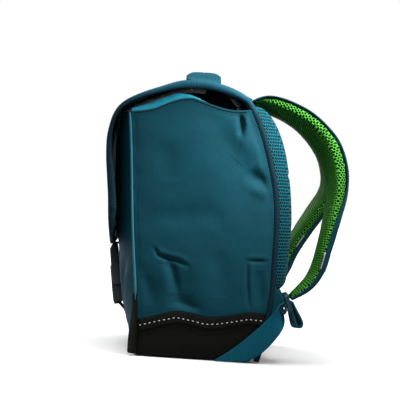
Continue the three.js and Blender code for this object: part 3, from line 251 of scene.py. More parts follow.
def solid_copy(node, name):
    """A new object with the node's mesh, merged to one skin of quads."""
    source = frame["nodes"][node]
    obj = bpy.data.objects.new(name, source.data.copy())
    bpy.context.collection.objects.link(obj)
    obj.data.materials.clear()
    activate(obj)
    bpy.ops.object.mode_set(mode="EDIT")
    bpy.ops.mesh.select_all(action="SELECT")
    bpy.ops.mesh.remove_doubles(threshold=0.00002)
    bpy.ops.mesh.customdata_custom_splitnormals_clear()
    bpy.ops.mesh.tris_convert_to_quads(face_threshold=math.radians(55), shape_threshold=math.radians(70))
    bpy.ops.object.mode_set(mode="OBJECT")
    return obj


def crease_borders(obj, angle=50, crease=1.0):
    """Keeps a piece's sharp borders under subdivision."""
    activate(obj)
    bpy.ops.object.mode_set(mode="EDIT")
    bpy.ops.mesh.select_mode(type="EDGE")
    bpy.ops.mesh.select_all(action="DESELECT")
    bpy.ops.mesh.edges_select_sharp(sharpness=math.radians(angle))
    bpy.ops.transform.edge_crease(value=crease)
    bpy.ops.mesh.select_all(action="DESELECT")
    bpy.ops.mesh.select_mode(type="VERT")
    bpy.ops.object.mode_set(mode="OBJECT")


def thin_inside(obj, sign, keep):
    """Leaves fewer faces on a panel's hidden inner side."""
    activate(obj)
    outward = np.empty(len(obj.data.polygons) * 3)
    obj.data.polygons.foreach_get("normal", outward)
    bpy.ops.object.mode_set(mode="EDIT")
    bpy.ops.mesh.select_mode(type="FACE")
    bpy.ops.mesh.select_all(action="DESELECT")
    bpy.ops.object.mode_set(mode="OBJECT")
    obj.data.polygons.foreach_set("select", outward[0::3] * sign < -0.7)
    bpy.ops.object.mode_set(mode="EDIT")
    bpy.ops.mesh.decimate(ratio=keep)
    bpy.ops.mesh.select_all(action="DESELECT")
    bpy.ops.mesh.select_mode(type="VERT")
    bpy.ops.object.mode_set(mode="OBJECT")


def cloth_copy(node, name, levels, crease=1.0, angle=50):
    """A subdivided copy of a node that keeps its sewn borders."""
    obj = solid_copy(node, name)
    crease_borders(obj, angle, crease)
    subdivide(obj, levels)
    return obj


def moulded_copy(node, name, rounding):
    """A copy of a moulded part, with each flat face whole and its corners rounded."""
    obj = solid_copy(node, name)
    activate(obj)
    bpy.ops.object.mode_set(mode="EDIT")
    bpy.ops.mesh.select_all(action="SELECT")
    bpy.ops.mesh.dissolve_limited(angle_limit=math.radians(2))
    bpy.ops.object.mode_set(mode="OBJECT")
    apply_modifier(obj, "BEVEL", width=rounding, segments=3, limit_method="ANGLE", angle_limit=math.radians(40))
    return obj


def places_of(obj):
    """The piece's vertices in millimetres."""
    flat = np.empty(len(obj.data.vertices) * 3)
    obj.data.vertices.foreach_get("co", flat)
    return flat.reshape(-1, 3) * MM


def put_places(obj, places):
    """Moves the piece's vertices to places in millimetres."""
    obj.data.vertices.foreach_set("co", (places / MM).ravel())
    obj.data.update()


def normals_of(obj):
    """The normals at the piece's vertices."""
    flat = np.empty(len(obj.data.vertices) * 3)
    obj.data.vertex_normals.foreach_get("vector", flat)
    return flat.reshape(-1, 3)


def unevenness(places, scale, seed=0.0):
    """Smooth noise of -1 to 1 at places, with features of about scale millimetres."""
    shift = Vector((seed, seed * 0.7, -seed))
    return np.array([noise.noise(Vector(p) / scale + shift) for p in places])


def crumple(obj, scale, amount, seed=0.0, hold=None):
    """Moves a piece's cloth about by smooth noise, alike on both its faces."""
    p = places_of(obj)
    moves = np.column_stack([unevenness(p, scale, seed + shift) for shift in NOISE_SHIFTS]) * amount
    if hold is not None:
        moves *= hold[:, None]
    put_places(obj, p + moves)


def smooth_step(x, low, high):
    """Rises smoothly from 0 at low to 1 at high."""
    t = np.clip((x - low) / (high - low), 0, 1)
    return t * t * (3 - 2 * t)


def along_line(points, line):
    """For each point the distance to a line, its side of it, and the share of the line's length."""
    points, line = np.asarray(points, float), np.asarray(line, float)
    starts, steps = line[:-1], np.diff(line, axis=0)
    lengths = np.linalg.norm(steps, axis=1)
    behind = np.concatenate([[0], np.cumsum(lengths)])
    best = np.full(len(points), np.inf)
    side, share = np.zeros(len(points)), np.zeros(len(points))
    for start, step, length, before in zip(starts, steps, lengths, behind):
        to = points - start
        t = np.clip(to @ step / length**2, 0, 1)
        apart = to - t[:, None] * step
        d = np.linalg.norm(apart, axis=1)
        nearer = d < best
        best = np.where(nearer, d, best)
        if points.shape[1] == 2:
            turned = step[0] * to[:, 1] - step[1] * to[:, 0]
            side = np.where(nearer, np.sign(turned), side)
        share = np.where(nearer, before + t * length, share)
    return best, side, share / behind[-1]


def fold_moves(points, folds):
    """How far the folds move the cloth at points of its plane, outwards above zero."""
    moves = np.zeros(len(points))
    for fold in folds:
        d, side, share = along_line(points, fold["places"])
        ends = np.sin(np.pi * np.clip(share, 0.02, 0.98)) ** 0.6
        moves -= fold["deep"] * ends * np.exp(-((d / fold["wide"]) ** 2))
        lip_side = np.sign(fold["lip"]) * side * d
        moves += abs(fold["lip"]) * ends * np.exp(-(((lip_side - 2.0 * fold["wide"]) / (1.3 * fold["wide"])) ** 2))
    return moves


def hang_forward(obj):
    """Lets the lid's front hang a little further out."""
    p = places_of(obj)
    p[:, 1] -= 2.2 * smooth_step(-p[:, 2], -335, -290) * smooth_step(-p[:, 1], 100, 116)
    put_places(obj, p)


def line_at(line, heights):
    """The place front to back of a seam line at heights."""
    ys, zs = zip(*line)
    return np.interp(heights, zs, ys)


def smooth_line(points, count=8):
    """A finer line through points, rounded between them."""
    p = np.asarray(points, float)
    ends = np.vstack([2 * p[0] - p[1], p, 2 * p[-1] - p[-2]])
    fine = []
    for i in range(1, len(ends) - 2):
        a, b, c, d = ends[i - 1 : i + 3]
        for t in np.arange(count) / count:
            square, cube = (2 * a - 5 * b + 4 * c - d) * t**2, (3 * b - a - 3 * c + d) * t**3
            fine.append(0.5 * (2 * b + (c - a) * t + square + cube))
    fine.append(p[-1])
    return np.array(fine)


# Patterns follow the cloth by a UV map in millimetres


def set_pattern(obj, across, along):
    """Writes the cloth's pattern places, in millimetres, to the UV map that the finishes read."""
    mesh = obj.data
    while mesh.uv_layers:
        mesh.uv_layers.remove(mesh.uv_layers[0])
    layer = mesh.uv_layers.new(name="cloth")
    corner = np.empty(len(mesh.loops), dtype=np.int64)
    mesh.loops.foreach_get("vertex_index", corner)
    layer.data.foreach_set("uv", np.column_stack([across[corner], along[corner]]).ravel())


def flat_pattern(obj, first, second):
    """A pattern seen straight along the axis that is left out."""
    p = places_of(obj)
    set_pattern(obj, p[:, first], p[:, second])


def band_frame(places, line):
    """Each place's offset across a band, its height on the band's inner side, its share and that side's direction."""
    fine = smooth_line(line)
    even = resample(fine, 200)
    _, _, share = along_line(places, fine)
    steps = np.gradient(even, axis=0)
    inwards = np.cross(steps, (1, 0, 0))
    inwards /= np.maximum(1e-9, np.linalg.norm(inwards, axis=1))[:, None]
    at = np.linspace(0, 1, 200)
    middle = np.column_stack([np.interp(share, at, even[:, k]) for k in range(3)])
    facing = np.column_stack([np.interp(share, at, inwards[:, k]) for k in range(3)])
    off = places - middle
    return off[:, 0], (off * facing).sum(axis=1), share, facing


def band_pattern(obj, line, thick=None):
    """A pattern along a band's middle line. On a band of that half thickness it turns down the edges."""
    across, up, share, _ = band_frame(places_of(obj), line)
    fine = smooth_line(line)
    length = np.linalg.norm(np.diff(fine, axis=0), axis=1).sum()
    if thick:
        across = across + np.sign(across) * np.maximum(0, thick - np.abs(up))
    set_pattern(obj, across, share * length)


# By the share along a strap: half the width between its rows of stitches, and how far its cover turns down.
STRAP_SHARES = [0, 0.13, 0.3, 0.5, 0.62, 0.8, 0.86, 0.94, 1]
STRAP_HALVES = [22.5, 26, 26, 26, 26, 23, 22, 19, 17]
STRAP_TURNS = [0.3, 0.6, 0.9, 1.6, 5.0, 6.0, 5.5, 4.5, 1.5]


def turn_down(obj, line, clear, more=0.0, inset=0.0):
    """Turns the long edges of a strap's cover down over its padding."""
    p = places_of(obj)
    across, _, share, facing = band_frame(p, line)
    half = np.interp(share, STRAP_SHARES, STRAP_HALVES)
    edge = smooth_step(np.abs(across) - half + inset, -1.5, 2.0)
    turn = np.interp(share, STRAP_SHARES, STRAP_TURNS) + more
    p += facing * (edge * turn)[:, None]
    p[:, 0] += np.sign(across) * edge * clear
    put_places(obj, p)


def resample(line, count, columns=None):
    """So many rows at equal steps along a line, whose first columns are its places."""
    line = np.asarray(line, float)
    steps = np.concatenate([[0], np.cumsum(np.linalg.norm(np.diff(line[:, :columns], axis=0), axis=1))])
    at = np.linspace(0, steps[-1], count)
    return np.column_stack([np.interp(at, steps, line[:, k]) for k in range(line.shape[1])])


# Finishes


class Finish:
    """A procedural material under construction."""

    def __init__(self, name, roughness=0.8, sheen=0.0, specular=0.07, metallic=0.0):
        self.material = bpy.data.materials.new(name)
        self.material.use_nodes = True
        self.tree = self.material.node_tree
        self.shader = self.tree.nodes["Principled BSDF"]
        self.set(self.shader, Roughness=roughness, Metallic=metallic)
        self.set(self.shader, **{"Specular IOR Level": specular, "Sheen Weight": sheen, "Sheen Roughness": 0.45})

    def set(self, node, **values):
        """Sets a node's own sockets."""
        for name, value in values.items():
            node.inputs[name].default_value = value
        return node

    def node(self, kind, links=(), **settings):
        """Adds a node, sets its properties and links its sockets."""
        node = self.tree.nodes.new("ShaderNode" + kind)
        for name, value in settings.items():
            setattr(node, name, value)
        for socket, source in dict(links).items():
            if hasattr(source, "links"):
                self.tree.links.new(source, node.inputs[socket])
            else:
                node.inputs[socket].default_value = source
        return node

    def math(self, operation, first, second=0.0, third=0.0):
        """A number from two or three others."""
        return self.node("Math", {0: first, 1: second, 2: third}, operation=operation).outputs[0]

    def pattern(self):
        """The pattern's two places in millimetres."""
        split = self.node("SeparateXYZ", {0: self.node("UVMap", uv_map="cloth").outputs[0]})
        return split.outputs[0], split.outputs[1]

    def place(self):
        """The place in the object, in metres."""
        return self.node("TexCoord").outputs["Object"]

    def mottle(self, scale, detail=3.0, rough=0.55):
        """Soft blotches of 0 to 1, scale to the metre."""
        links = {"Vector": self.place(), "Scale": scale, "Detail": detail, "Roughness": rough}
        return self.node("TexNoise", links).outputs["Fac"]

    def between(self, factor, low, high, **settings):
        """A colour between two."""
        return self.node("Mix", {0: factor, 6: low, 7: high}, data_type="RGBA", **settings).outputs[2]

    def ramp(self, value, low, high):
        """0 at low and 1 at high."""
        links = {"Value": value, "From Min": low, "From Max": high}
        return self.node("MapRange", links, interpolation_type="SMOOTHSTEP").outputs[0]

    def wave(self, value, pitch, shift=0.0):
        """A wave of 0 to 1 along a place, with its pitch in millimetres."""
        turned = self.math("MULTIPLY_ADD", value, 2 * math.pi / pitch, shift)
        return self.math("MULTIPLY_ADD", self.math("SINE", turned), 0.5, 0.5)

    def bump(self, height, distance, strength=1.0, after=None):
        """Relief of so many metres."""
        links = {"Height": height, "Distance": distance, "Strength": strength}
        if after is not None:
            links["Normal"] = after
        return self.node("Bump", links).outputs[0]

    def done(self, colour, normal=None, roughness=None):
        """Links what varies to the shader."""
        self.tree.links.new(colour, self.shader.inputs["Base Color"])
        if normal is not None:
            self.tree.links.new(normal, self.shader.inputs["Normal"])
        if roughness is not None:
            self.tree.links.new(roughness, self.shader.inputs["Roughness"])
        return self.material


def shade(colour, factor):
    """A colour made lighter or darker, with full opacity."""
    return (*(min(1, c * factor) for c in colour), 1)


def woven_cloth(name, colour, pitch, depth=0.00016, light=1.3, dark=0.62, sheen=0.0, roughness=0.72):
    """Plain-woven nylon: crossing threads, slubs and soft blotches."""
    f = Finish(name, roughness, sheen)
    u, v = f.pattern()
    warp = f.wave(u, pitch * 2)
    weft = f.wave(v, pitch * 2, math.pi / 2)
    over = f.math("MULTIPLY", f.math("SUBTRACT", warp, 0.5), f.math("SUBTRACT", weft, 0.5))
    threads = f.math("MULTIPLY_ADD", over, 2.0, 0.5)
    drawn_out = f.node("Mapping", {"Vector": f.place(), "Scale": (900, 900, 160)}).outputs[0]
    slub = f.node("TexNoise", {"Vector": drawn_out, "Scale": 1.0, "Detail": 2.0}).outputs["Fac"]
    fine = f.math("MULTIPLY_ADD", slub, 0.5, f.math("MULTIPLY", threads, 0.5))
    tone = f.between(f.ramp(fine, 0.25, 0.75), shade(colour, dark), shade(colour, light))
    blotch = f.ramp(f.mottle(26), 0.3, 0.7)
    base = f.between(blotch, shade(colour, 0.86), shade(colour, 1.12))
    crinkle = f.bump(f.mottle(160, 2.0), 0.0005, 0.35, f.bump(fine, depth))
    return f.done(f.between(0.55, base, tone), crinkle)


def ribbed_band(name, colour, pitch=1.7, depth=0.00035, sheen=0.0, roughness=0.62, crown=1.0):
    """Webbing or tape with ribs across its length, with a painted highlight that makes it so many times lighter near
    the bag's crown.
    """
    f = Finish(name, roughness, sheen)
    u, v = f.pattern()
    ribs = f.wave(v, pitch)
    strands = f.wave(u, pitch * 0.8)
    cross = f.math("MULTIPLY_ADD", f.math("MULTIPLY", ribs, strands), 0.6, f.math("MULTIPLY", ribs, 0.4))
    tone = f.between(f.ramp(cross, 0.05, 0.75), shade(colour, 0.5), shade(colour, 1.35))
    blotch = f.between(f.ramp(f.mottle(45), 0.3, 0.7), shade(colour, 0.85), shade(colour, 1.15))
    base = f.between(0.65, blotch, tone)
    # Painted highlight: the tape grows so many times lighter towards the bag's crown, where the light falls on it.
    if crown != 1:
        height = f.node("SeparateXYZ", {0: f.place()}).outputs[2]
        crown_highlight = f.between(f.ramp(height, 0.33, 0.372), (1, 1, 1, 1), (crown, crown, crown, 1))
        base = f.between(1.0, base, crown_highlight, blend_type="MULTIPLY")
    return f.done(base, f.bump(cross, depth))


def air_mesh(name, colour, deep, pitch, hole=0.34, glow=1.0):
    """Spacer mesh with staggered round holes, painted dark inside as the shade in them."""
    f = Finish(name, 0.66, 0.0, 0.06)
    u, v = f.pattern()
    cell = (pitch, pitch * math.sqrt(3), 1)
    at = f.node("CombineXYZ", {0: u, 1: v}).outputs[0]

    def nearest(shift):
        moved = f.node("VectorMath", {0: at, 1: shift}, operation="ADD").outputs[0]
        low = (-cell[0] / 2, -cell[1] / 2, -0.5)
        high = (cell[0] / 2, cell[1] / 2, 0.5)
        wrapped = f.node("VectorMath", {0: moved, 1: high, 2: low}, operation="WRAP").outputs[0]
        return f.node("VectorMath", {0: wrapped}, operation="LENGTH").outputs["Value"]

    off = f.math("MINIMUM", nearest((0, 0, 0)), nearest((cell[0] / 2, cell[1] / 2, 0)))
    open_part = f.ramp(off, pitch * (hole + 0.1), pitch * (hole - 0.06))
    ridge = f.ramp(off, pitch * (hole - 0.05), pitch * 0.56)
    fuzz = f.mottle(900, 2.0)
    yarn = f.between(f.ramp(fuzz, 0.3, 0.7), shade(colour, 0.72 * glow), shade(colour, 1.25 * glow))
    # The holes' dark ground is painted shade.
    ground = f.between(f.ramp(f.mottle(50), 0.3, 0.7), shade(deep, 0.8), shade(deep, 1.25))
    both = f.between(open_part, yarn, ground)
    return f.done(both, f.bump(ridge, 0.0011, 1.0, f.bump(fuzz, 0.0002)))


def coarse_black(name, colour, pitch=1.3, light=2.2, roughness=0.62):
    """Coated coarse black cloth with a leathery grain."""
    f = Finish(name, roughness, 0.0, 0.06)
    u, v = f.pattern()
    grid = f.math("MULTIPLY", f.wave(u, pitch), f.wave(v, pitch))
    grain = f.node("TexVoronoi", {"Vector": f.place(), "Scale": 620.0}, feature="F1").outputs["Distance"]
    both = f.math("MULTIPLY_ADD", grain, 0.7, f.math("MULTIPLY", grid, 0.5))
    tone = f.between(f.ramp(both, 0.1, 0.8), shade(colour, 0.6), shade(colour, light))
    blotch = f.between(f.ramp(f.mottle(18), 0.35, 0.65), shade(colour, 0.9), shade(colour, 1.5))
    return f.done(f.between(0.5, blotch, tone), f.bump(both, 0.00035))


def mottled_tape(name, colour):
    """Black tape with grey flecks."""
    f = Finish(name, 0.7, 0.05)
    u, v = f.pattern()
    flecks = f.node("TexVoronoi", {"Vector": f.place(), "Scale": 380.0}, feature="F1").outputs["Distance"]
    woven = f.math("MULTIPLY", f.wave(u, 2.4), f.wave(v, 1.8))
    mixed = f.math("MULTIPLY_ADD", flecks, -0.9, woven)
    tone = f.between(f.ramp(mixed, -0.25, 0.35), shade(colour, 0.8), shade(colour, 4.2))
    return f.done(tone, f.bump(mixed, 0.0004))


def crumpled_lining(name):
    """Thin black lining with a slight gloss, and painted highlights on its creases."""
    f = Finish(name, 0.42, 0.0, 0.35)
    crease = f.mottle(120, 4.0, 0.65)
    # The creases' lighter tone is a painted highlight.
    tone = f.between(f.ramp(crease, 0.35, 0.7), (0.002, 0.0025, 0.003, 1), (0.02, 0.024, 0.028, 1))
    return f.done(tone, f.bump(crease, 0.0022, 0.8))


def moulded_plastic(name, colour=(0.006, 0.013, 0.014)):
    """Dark acetal with a fine moulding texture and worn corners."""
    f = Finish(name, 0.42, 0.0, 0.22)
    grain = f.mottle(1500, 2.0)
    worn = f.ramp(f.node("NewGeometry").outputs["Pointiness"], 0.52, 0.62)
    tone = f.between(f.ramp(grain, 0.3, 0.7), shade(colour, 0.85), shade(colour, 1.2))
    edge = f.between(worn, tone, shade(colour, 2.4))
    rough = f.node("MapRange", {"Value": grain, "To Min": 0.3, "To Max": 0.48}).outputs[0]
    return f.done(edge, f.bump(grain, 0.00006), rough)


def reflective_cloth(name, colour):
    """Silver cloth of fine cells."""
    f = Finish(name, 0.36, 0.0, 0.6, 0.25)
    u, v = f.pattern()
    cells = f.math("MULTIPLY", f.wave(u, 1.5), f.wave(v, 1.5))
    tone = f.between(f.ramp(cells, 0.1, 0.8), shade(colour, 0.8), shade(colour, 1.15))
    return f.done(tone, f.bump(cells, 0.00012))


def sewing_thread(name, colour, roughness=0.5):
    """Twisted thread."""
    f = Finish(name, roughness, 0.0, 0.08)
    twist = f.mottle(1400, 1.0)
    tone = f.between(f.ramp(twist, 0.35, 0.65), shade(colour, 0.75), shade(colour, 1.15))
    return f.done(tone, f.bump(twist, 0.0001))


def printed_cloth(name, colour, pitch):
    """Navy cloth with scattered flowers in warm and green colours, made for this bag."""
    f = Finish(name, 0.72, 0.02)
    u, v = f.pattern()
    warp, weft = f.wave(u, pitch * 2), f.wave(v, pitch * 2, math.pi / 2)
    over = f.math("MULTIPLY", f.math("SUBTRACT", warp, 0.5), f.math("SUBTRACT", weft, 0.5))
    threads = f.math("MULTIPLY_ADD", over, 2.0, 0.5)
    ground = f.between(f.ramp(threads, 0.2, 0.8), shade(colour, 0.75), shade(colour, 1.3))
    at = f.node("CombineXYZ", {0: u, 1: v}).outputs[0]
    spots = f.node("TexVoronoi", {"Vector": at, "Scale": 0.11}, feature="F1").outputs["Distance"]
    tone = f.between(f.ramp(spots, 0.16, 0.12), ground, (0.008, 0.07, 0.08, 1))
    inks = [(0.36, 0.08, 0.02, 1), (0.26, 0.02, 0.018, 1), (0.035, 0.15, 0.055, 1)]
    for x, along, radius, petals, ink in LID_FLOWERS:
        dx = f.math("SUBTRACT", u, x)
        dy = f.math("SUBTRACT", v, along + 62)
        off = f.math("SQRT", f.math("ADD", f.math("MULTIPLY", dx, dx), f.math("MULTIPLY", dy, dy)))
        turn = f.math("MULTIPLY", f.math("ARCTAN2", dy, dx), petals)
        reach = f.math("MULTIPLY_ADD", f.math("SINE", turn), radius * 0.3, radius * 0.62)
        inside = f.ramp(f.math("SUBTRACT", reach, off), -0.3, 0.5)
        tone = f.between(inside, tone, inks[ink])
        eye = f.ramp(off, radius * 0.22 + 0.4, radius * 0.22 - 0.4)
        tone = f.between(eye, tone, (0.4, 0.2, 0.035, 1))
    return f.done(tone, f.bump(threads, 0.00016))


FINISHES = {}


def finish_for(kind):
    """The finish of that kind, made once."""
    if kind not in FINISHES:
        FINISHES[kind] = FINISH_MAKERS[kind]()
    return FINISHES[kind]


def colours():
    """The scene's colours."""
    return bpy.context.scene.backpack_colours


def sizes():
    """The scene's sizes."""
    return bpy.context.scene.backpack_sizes


FINISH_MAKERS = {
    "petrol_cloth": lambda: woven_cloth("petrol_cloth", colours().petrol, sizes().weave_pitch),
    "light_teal_cloth": lambda: woven_cloth("light_teal_cloth", colours().light_teal, sizes().weave_pitch),
    # The handle's teal is the rim's light teal darkened 0.37 times: painted shade on a copy of the one cloth.
    "handle_shaded_teal": lambda: woven_cloth("handle_shaded_teal", shade(colours().light_teal, 0.37)[:3], sizes().weave_pitch),
    "printed_cloth": lambda: printed_cloth("printed_cloth", colours().navy, sizes().weave_pitch),
    # crown=5.0 paints the binding five times lighter at the bag's crown, a painted highlight.
    "binding_tape": lambda: ribbed_band("binding_tape", colours().binding, 2.0, crown=5.0),
    "piping": lambda: woven_cloth("piping_cloth", colours().piping, 0.5, 0.0001, 1.15, 0.85, 0.2, 0.55),
    "petrol_webbing": lambda: ribbed_band("petrol_webbing", colours().webbing, 2.2, 0.0004),
    "black_webbing": lambda: ribbed_band("black_webbing", colours().black, 1.8, 0.0004, 0.05),
    # After each mesh's colour comes the dark colour painted into its holes as their shade.
    "teal_mesh": lambda: air_mesh("teal_mesh", colours().mesh_teal, (0.0012, 0.01, 0.015), sizes().mesh_pitch, 0.4),
    "green_mesh": lambda: air_mesh(
        "green_mesh", colours().mesh_green, (0.0015, 0.015, 0.0015), sizes().mesh_pitch * 0.78, 0.36
    ),
    "boot_cloth": lambda: coarse_black("boot_cloth", colours().black),
    "tape": lambda: mottled_tape("mottled_tape", colours().black),
    "lining": lambda: crumpled_lining("black_lining"),
    "plastic": lambda: moulded_plastic("dark_plastic"),
    "petrol_plastic": lambda: moulded_plastic("petrol_plastic", (0.002, 0.032, 0.048)),
    "reflector": lambda: reflective_cloth("reflective_cloth", colours().reflector),
    "bright_thread": lambda: sewing_thread("bright_thread", (0.55, 0.55, 0.53), 0.35),
    "petrol_thread": lambda: sewing_thread("petrol_thread", (0.004, 0.05, 0.07)),
    "teal_thread": lambda: sewing_thread("teal_thread", (0.014, 0.11, 0.15)),
    "binding_thread": lambda: sewing_thread("binding_thread", (0.008, 0.045, 0.07)),
    # A near-black for the cords at the top seams: painted shade of the seam's groove.
    "painted_seam_shade": lambda: sewing_thread("painted_seam_shade", (0.004, 0.01, 0.012)),
}


def dress(obj, kind, slot, *nodes, angle=None):
    """Gives a finished piece its material, lets it ride on the bag and stand for its nodes."""
    activate(obj)
    if angle:
        bpy.ops.object.shade_smooth_by_angle(angle=math.radians(angle))
    else:
        bpy.ops.object.shade_smooth()
    obj.data.materials.clear()
    obj.data.materials.append(finish_for(kind))
    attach(obj, "root")
    if nodes:
        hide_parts(*nodes)
    return obj


# Stitches and seam cords


def stitch_shape(length, thick):
    """One stitch's places and faces, a small sphere drawn long."""
    bpy.ops.object.select_all(action="DESELECT")
    bpy.ops.mesh.primitive_uv_sphere_add(segments=6, ring_count=4, radius=0.5)
    obj = bpy.context.object
    obj.scale = (length, thick, thick * 0.8)
    bpy.ops.object.transform_apply(location=False, rotation=False, scale=True)
    places = np.array([v.co[:] for v in obj.data.vertices])
    faces = [list(face.vertices) for face in obj.data.polygons]
    bpy.data.objects.remove(obj)
    return places, faces


def stitch_row(name, kind, slot, rows, pitch, length, thick):
    """Stitches at equal steps on rows of (place, outward direction), in metres."""
    shape, faces = stitch_shape(length, thick)
    places, polygons = [], []
    for row in rows:
        spots = np.array([[*p, *n] for p, n in row], float)
        if len(spots) < 2:
            continue
        whole = np.linalg.norm(np.diff(spots[:, :3], axis=0), axis=1).sum()
        count = max(2, int(whole / pitch))
        even = resample(spots, count, 3)
        for i in range(count):
            j = min(i, count - 2)
            along = even[j + 1, :3] - even[j, :3]
            out = even[i, 3:] / max(1e-9, np.linalg.norm(even[i, 3:]))
            along = along - out * (along @ out)
            along /= max(1e-9, np.linalg.norm(along))
            turn = np.column_stack([along, np.cross(out, along), out])
            start = len(places) * len(shape)
            places.append(shape @ turn.T + even[i, :3] + out * thick * 0.12)
            polygons.extend([[start + k for k in face] for face in faces])
    mesh = bpy.data.meshes.new(name)
    mesh.from_pydata([tuple(p) for block in places for p in block], [], polygons)
    obj = bpy.data.objects.new(name, mesh)
    bpy.context.collection.objects.link(obj)
    set_pattern(obj, places_of(obj)[:, 1], places_of(obj)[:, 2])
    return dress(obj, kind, slot)


def surface_of(obj):
    """A finished piece's surface for laying stitches on it."""
    return BVHTree.FromObject(obj, bpy.context.evaluated_depsgraph_get())


def laid_on(surface, places, direction, reach=60):
    """Places in millimetres moved along a direction onto the surface, with its outward directions."""
    towards = Vector(direction).normalized()
    row = []
    for place in places:
        start = Vector(place) / MM - towards * reach / MM
        hit, normal, _, _ = surface.ray_cast(start, towards, 2 * reach / MM)
        if hit is not None:
            row.append((hit, normal if normal.dot(towards) < 0 else -normal))
    return row


def seam_cord(name, kind, slot, rows, radius):
    """Thin round cords laid on rows of (place, direction), for a seam's rolled edge."""
    curve = bpy.data.curves.new(name, "CURVE")
    curve.dimensions = "3D"
    curve.bevel_depth = radius
    curve.bevel_resolution = 1
    curve.use_fill_caps = True
    for row in rows:
        if len(row) < 2:
            continue
        spline = curve.splines.new("POLY")
        spline.points.add(len(row) - 1)
        for point, (place, out) in zip(spline.points, row):
            point.co = (*(Vector(place) + Vector(out) * radius * 0.25), 1)
    obj = bpy.data.objects.new(name, curve)
    bpy.context.collection.objects.link(obj)
    activate(obj)
    bpy.ops.object.convert(target="MESH")
    obj = bpy.context.object
    set_pattern(obj, places_of(obj)[:, 1], places_of(obj)[:, 2])
    return dress(obj, kind, slot)


# The padding swells in a cloth simulation


def swell_padding(obj, voxel, cap, free_share):
    """Swells a pad by cloth simulation: remesh, pressure, a cap on each point's move, and the result applied."""
    apply_modifier(obj, "REMESH", mode="VOXEL", voxel_size=voxel)
    scene = bpy.context.scene
    start = places_of(obj)
    cloth = obj.modifiers.new("Swell", "CLOTH")
    cloth.settings.use_pressure = True
    cloth.settings.uniform_pressure_force = SWELL_PRESSURE
    cloth.settings.effector_weights.gravity = 0.0
    cloth.settings.quality = SWELL_QUALITY
    cloth.point_cache.frame_start = 1
    cloth.point_cache.frame_end = SWELL_STEPS
    for number in range(1, SWELL_STEPS + 1):
        scene.frame_set(number)
    evaluated = obj.evaluated_get(bpy.context.evaluated_depsgraph_get())
    flat = np.empty(len(evaluated.data.vertices) * 3)
    evaluated.data.vertices.foreach_get("co", flat)
    obj.modifiers.remove(cloth)
    scene.frame_set(1)
    moves = flat.reshape(-1, 3) * MM - start
    far = np.linalg.norm(moves, axis=1)
    moves *= np.minimum(1, cap * MM / np.maximum(far, 1e-9))[:, None]
    moves *= free_share(start)[:, None]
    put_places(obj, start + moves)
    apply_modifier(obj, "SMOOTH", factor=0.5, iterations=4)
    subdivide(obj, 1)


# Pieces


class OBJECT_OT_backpack_sides(bpy.types.Operator):
    """Makes the two side panels with their folds, and the hems above them"""

    bl_idname = "object.backpack_sides"
    bl_label = "Side panels"

    def execute(self, context):
        for side, sign in SIDES.items():
            panel = cloth_copy(f"side_panel_{side}", f"side_cloth_{side}", 4)
            p = places_of(panel)
            y, z = p[:, 1], p[:, 2]
            front, back = line_at(FRONT_SEAM, z), line_at(BACK_SEAM, z)
            share = np.clip((y - front) / (back - front), 0, 1)
            top, low = np.interp(share, ACROSS, TOP_SEAM), np.interp(share, ACROSS, BOOT_EDGE)
            edge = np.minimum(np.minimum(y - front - 2.4, back - y), np.minimum(top - z, z - low))
            hold = smooth_step(edge, 0.5, 12)
            plane = np.column_stack([y, z])
            flat = np.column_stack([np.zeros(len(y)) + sign * 40, y, z])
            amount = fold_moves(plane, SIDE_FOLDS) * sizes().fold_strength
            amount += unevenness(flat, 70, 3.1) * 1.3 + unevenness(flat, 26, 8.4) * 0.5
            pucker = np.sin(z / 5.2 + np.sin(y / 17)) * np.exp(-np.maximum(edge, 0) / 9) * smooth_step(edge, 0.3, 3)
            p[:, 0] += sign * (hold * amount + pucker * 0.35)
            # The panel's borders reach under the seams beside it.
            p[:, 1] += 0.9 * (1 - smooth_step(back - y, 0, 6)) - 0.9 * (1 - smooth_step(y - front, 2.4, 8))
            p[:, 2] += 1.5 * (1 - smooth_step(top - z, 0, 5)) - 0.6 * (1 - smooth_step(z - low, 0, 5))
            put_places(panel, p)
            thin_inside(panel, sign, 0.5)
            flat_pattern(panel, 1, 2)
            dress(panel, "petrol_cloth", "petrol_cloth", f"side_panel_{side}")

            hem = cloth_copy(f"rim_{side}", f"rim_hem_{side}", 3)
            p = places_of(hem)
            front, back = line_at(FRONT_SEAM, p[:, 2]), line_at(BACK_SEAM, p[:, 2])
            share = (p[:, 1] - front) / (back - front)
            above = p[:, 2] - np.interp(share, ACROSS, TOP_SEAM)
            loose = smooth_step(above, 1, 9)
            crumple(hem, 24, 1.7, 5.0 + sign, loose)
            crumple(hem, 10, 0.7, 2.0, loose)
            p = places_of(hem)
            tucked = 1 - smooth_step(above, 0.4, 3)
            p[:, 2] -= 2.6 * tucked
            p[:, 0] -= sign * 0.9 * tucked
            put_places(hem, p)
            flat_pattern(hem, 1, 2)
            dress(hem, "light_teal_cloth", "light_teal_cloth", f"rim_{side}")
        return {"FINISHED"}


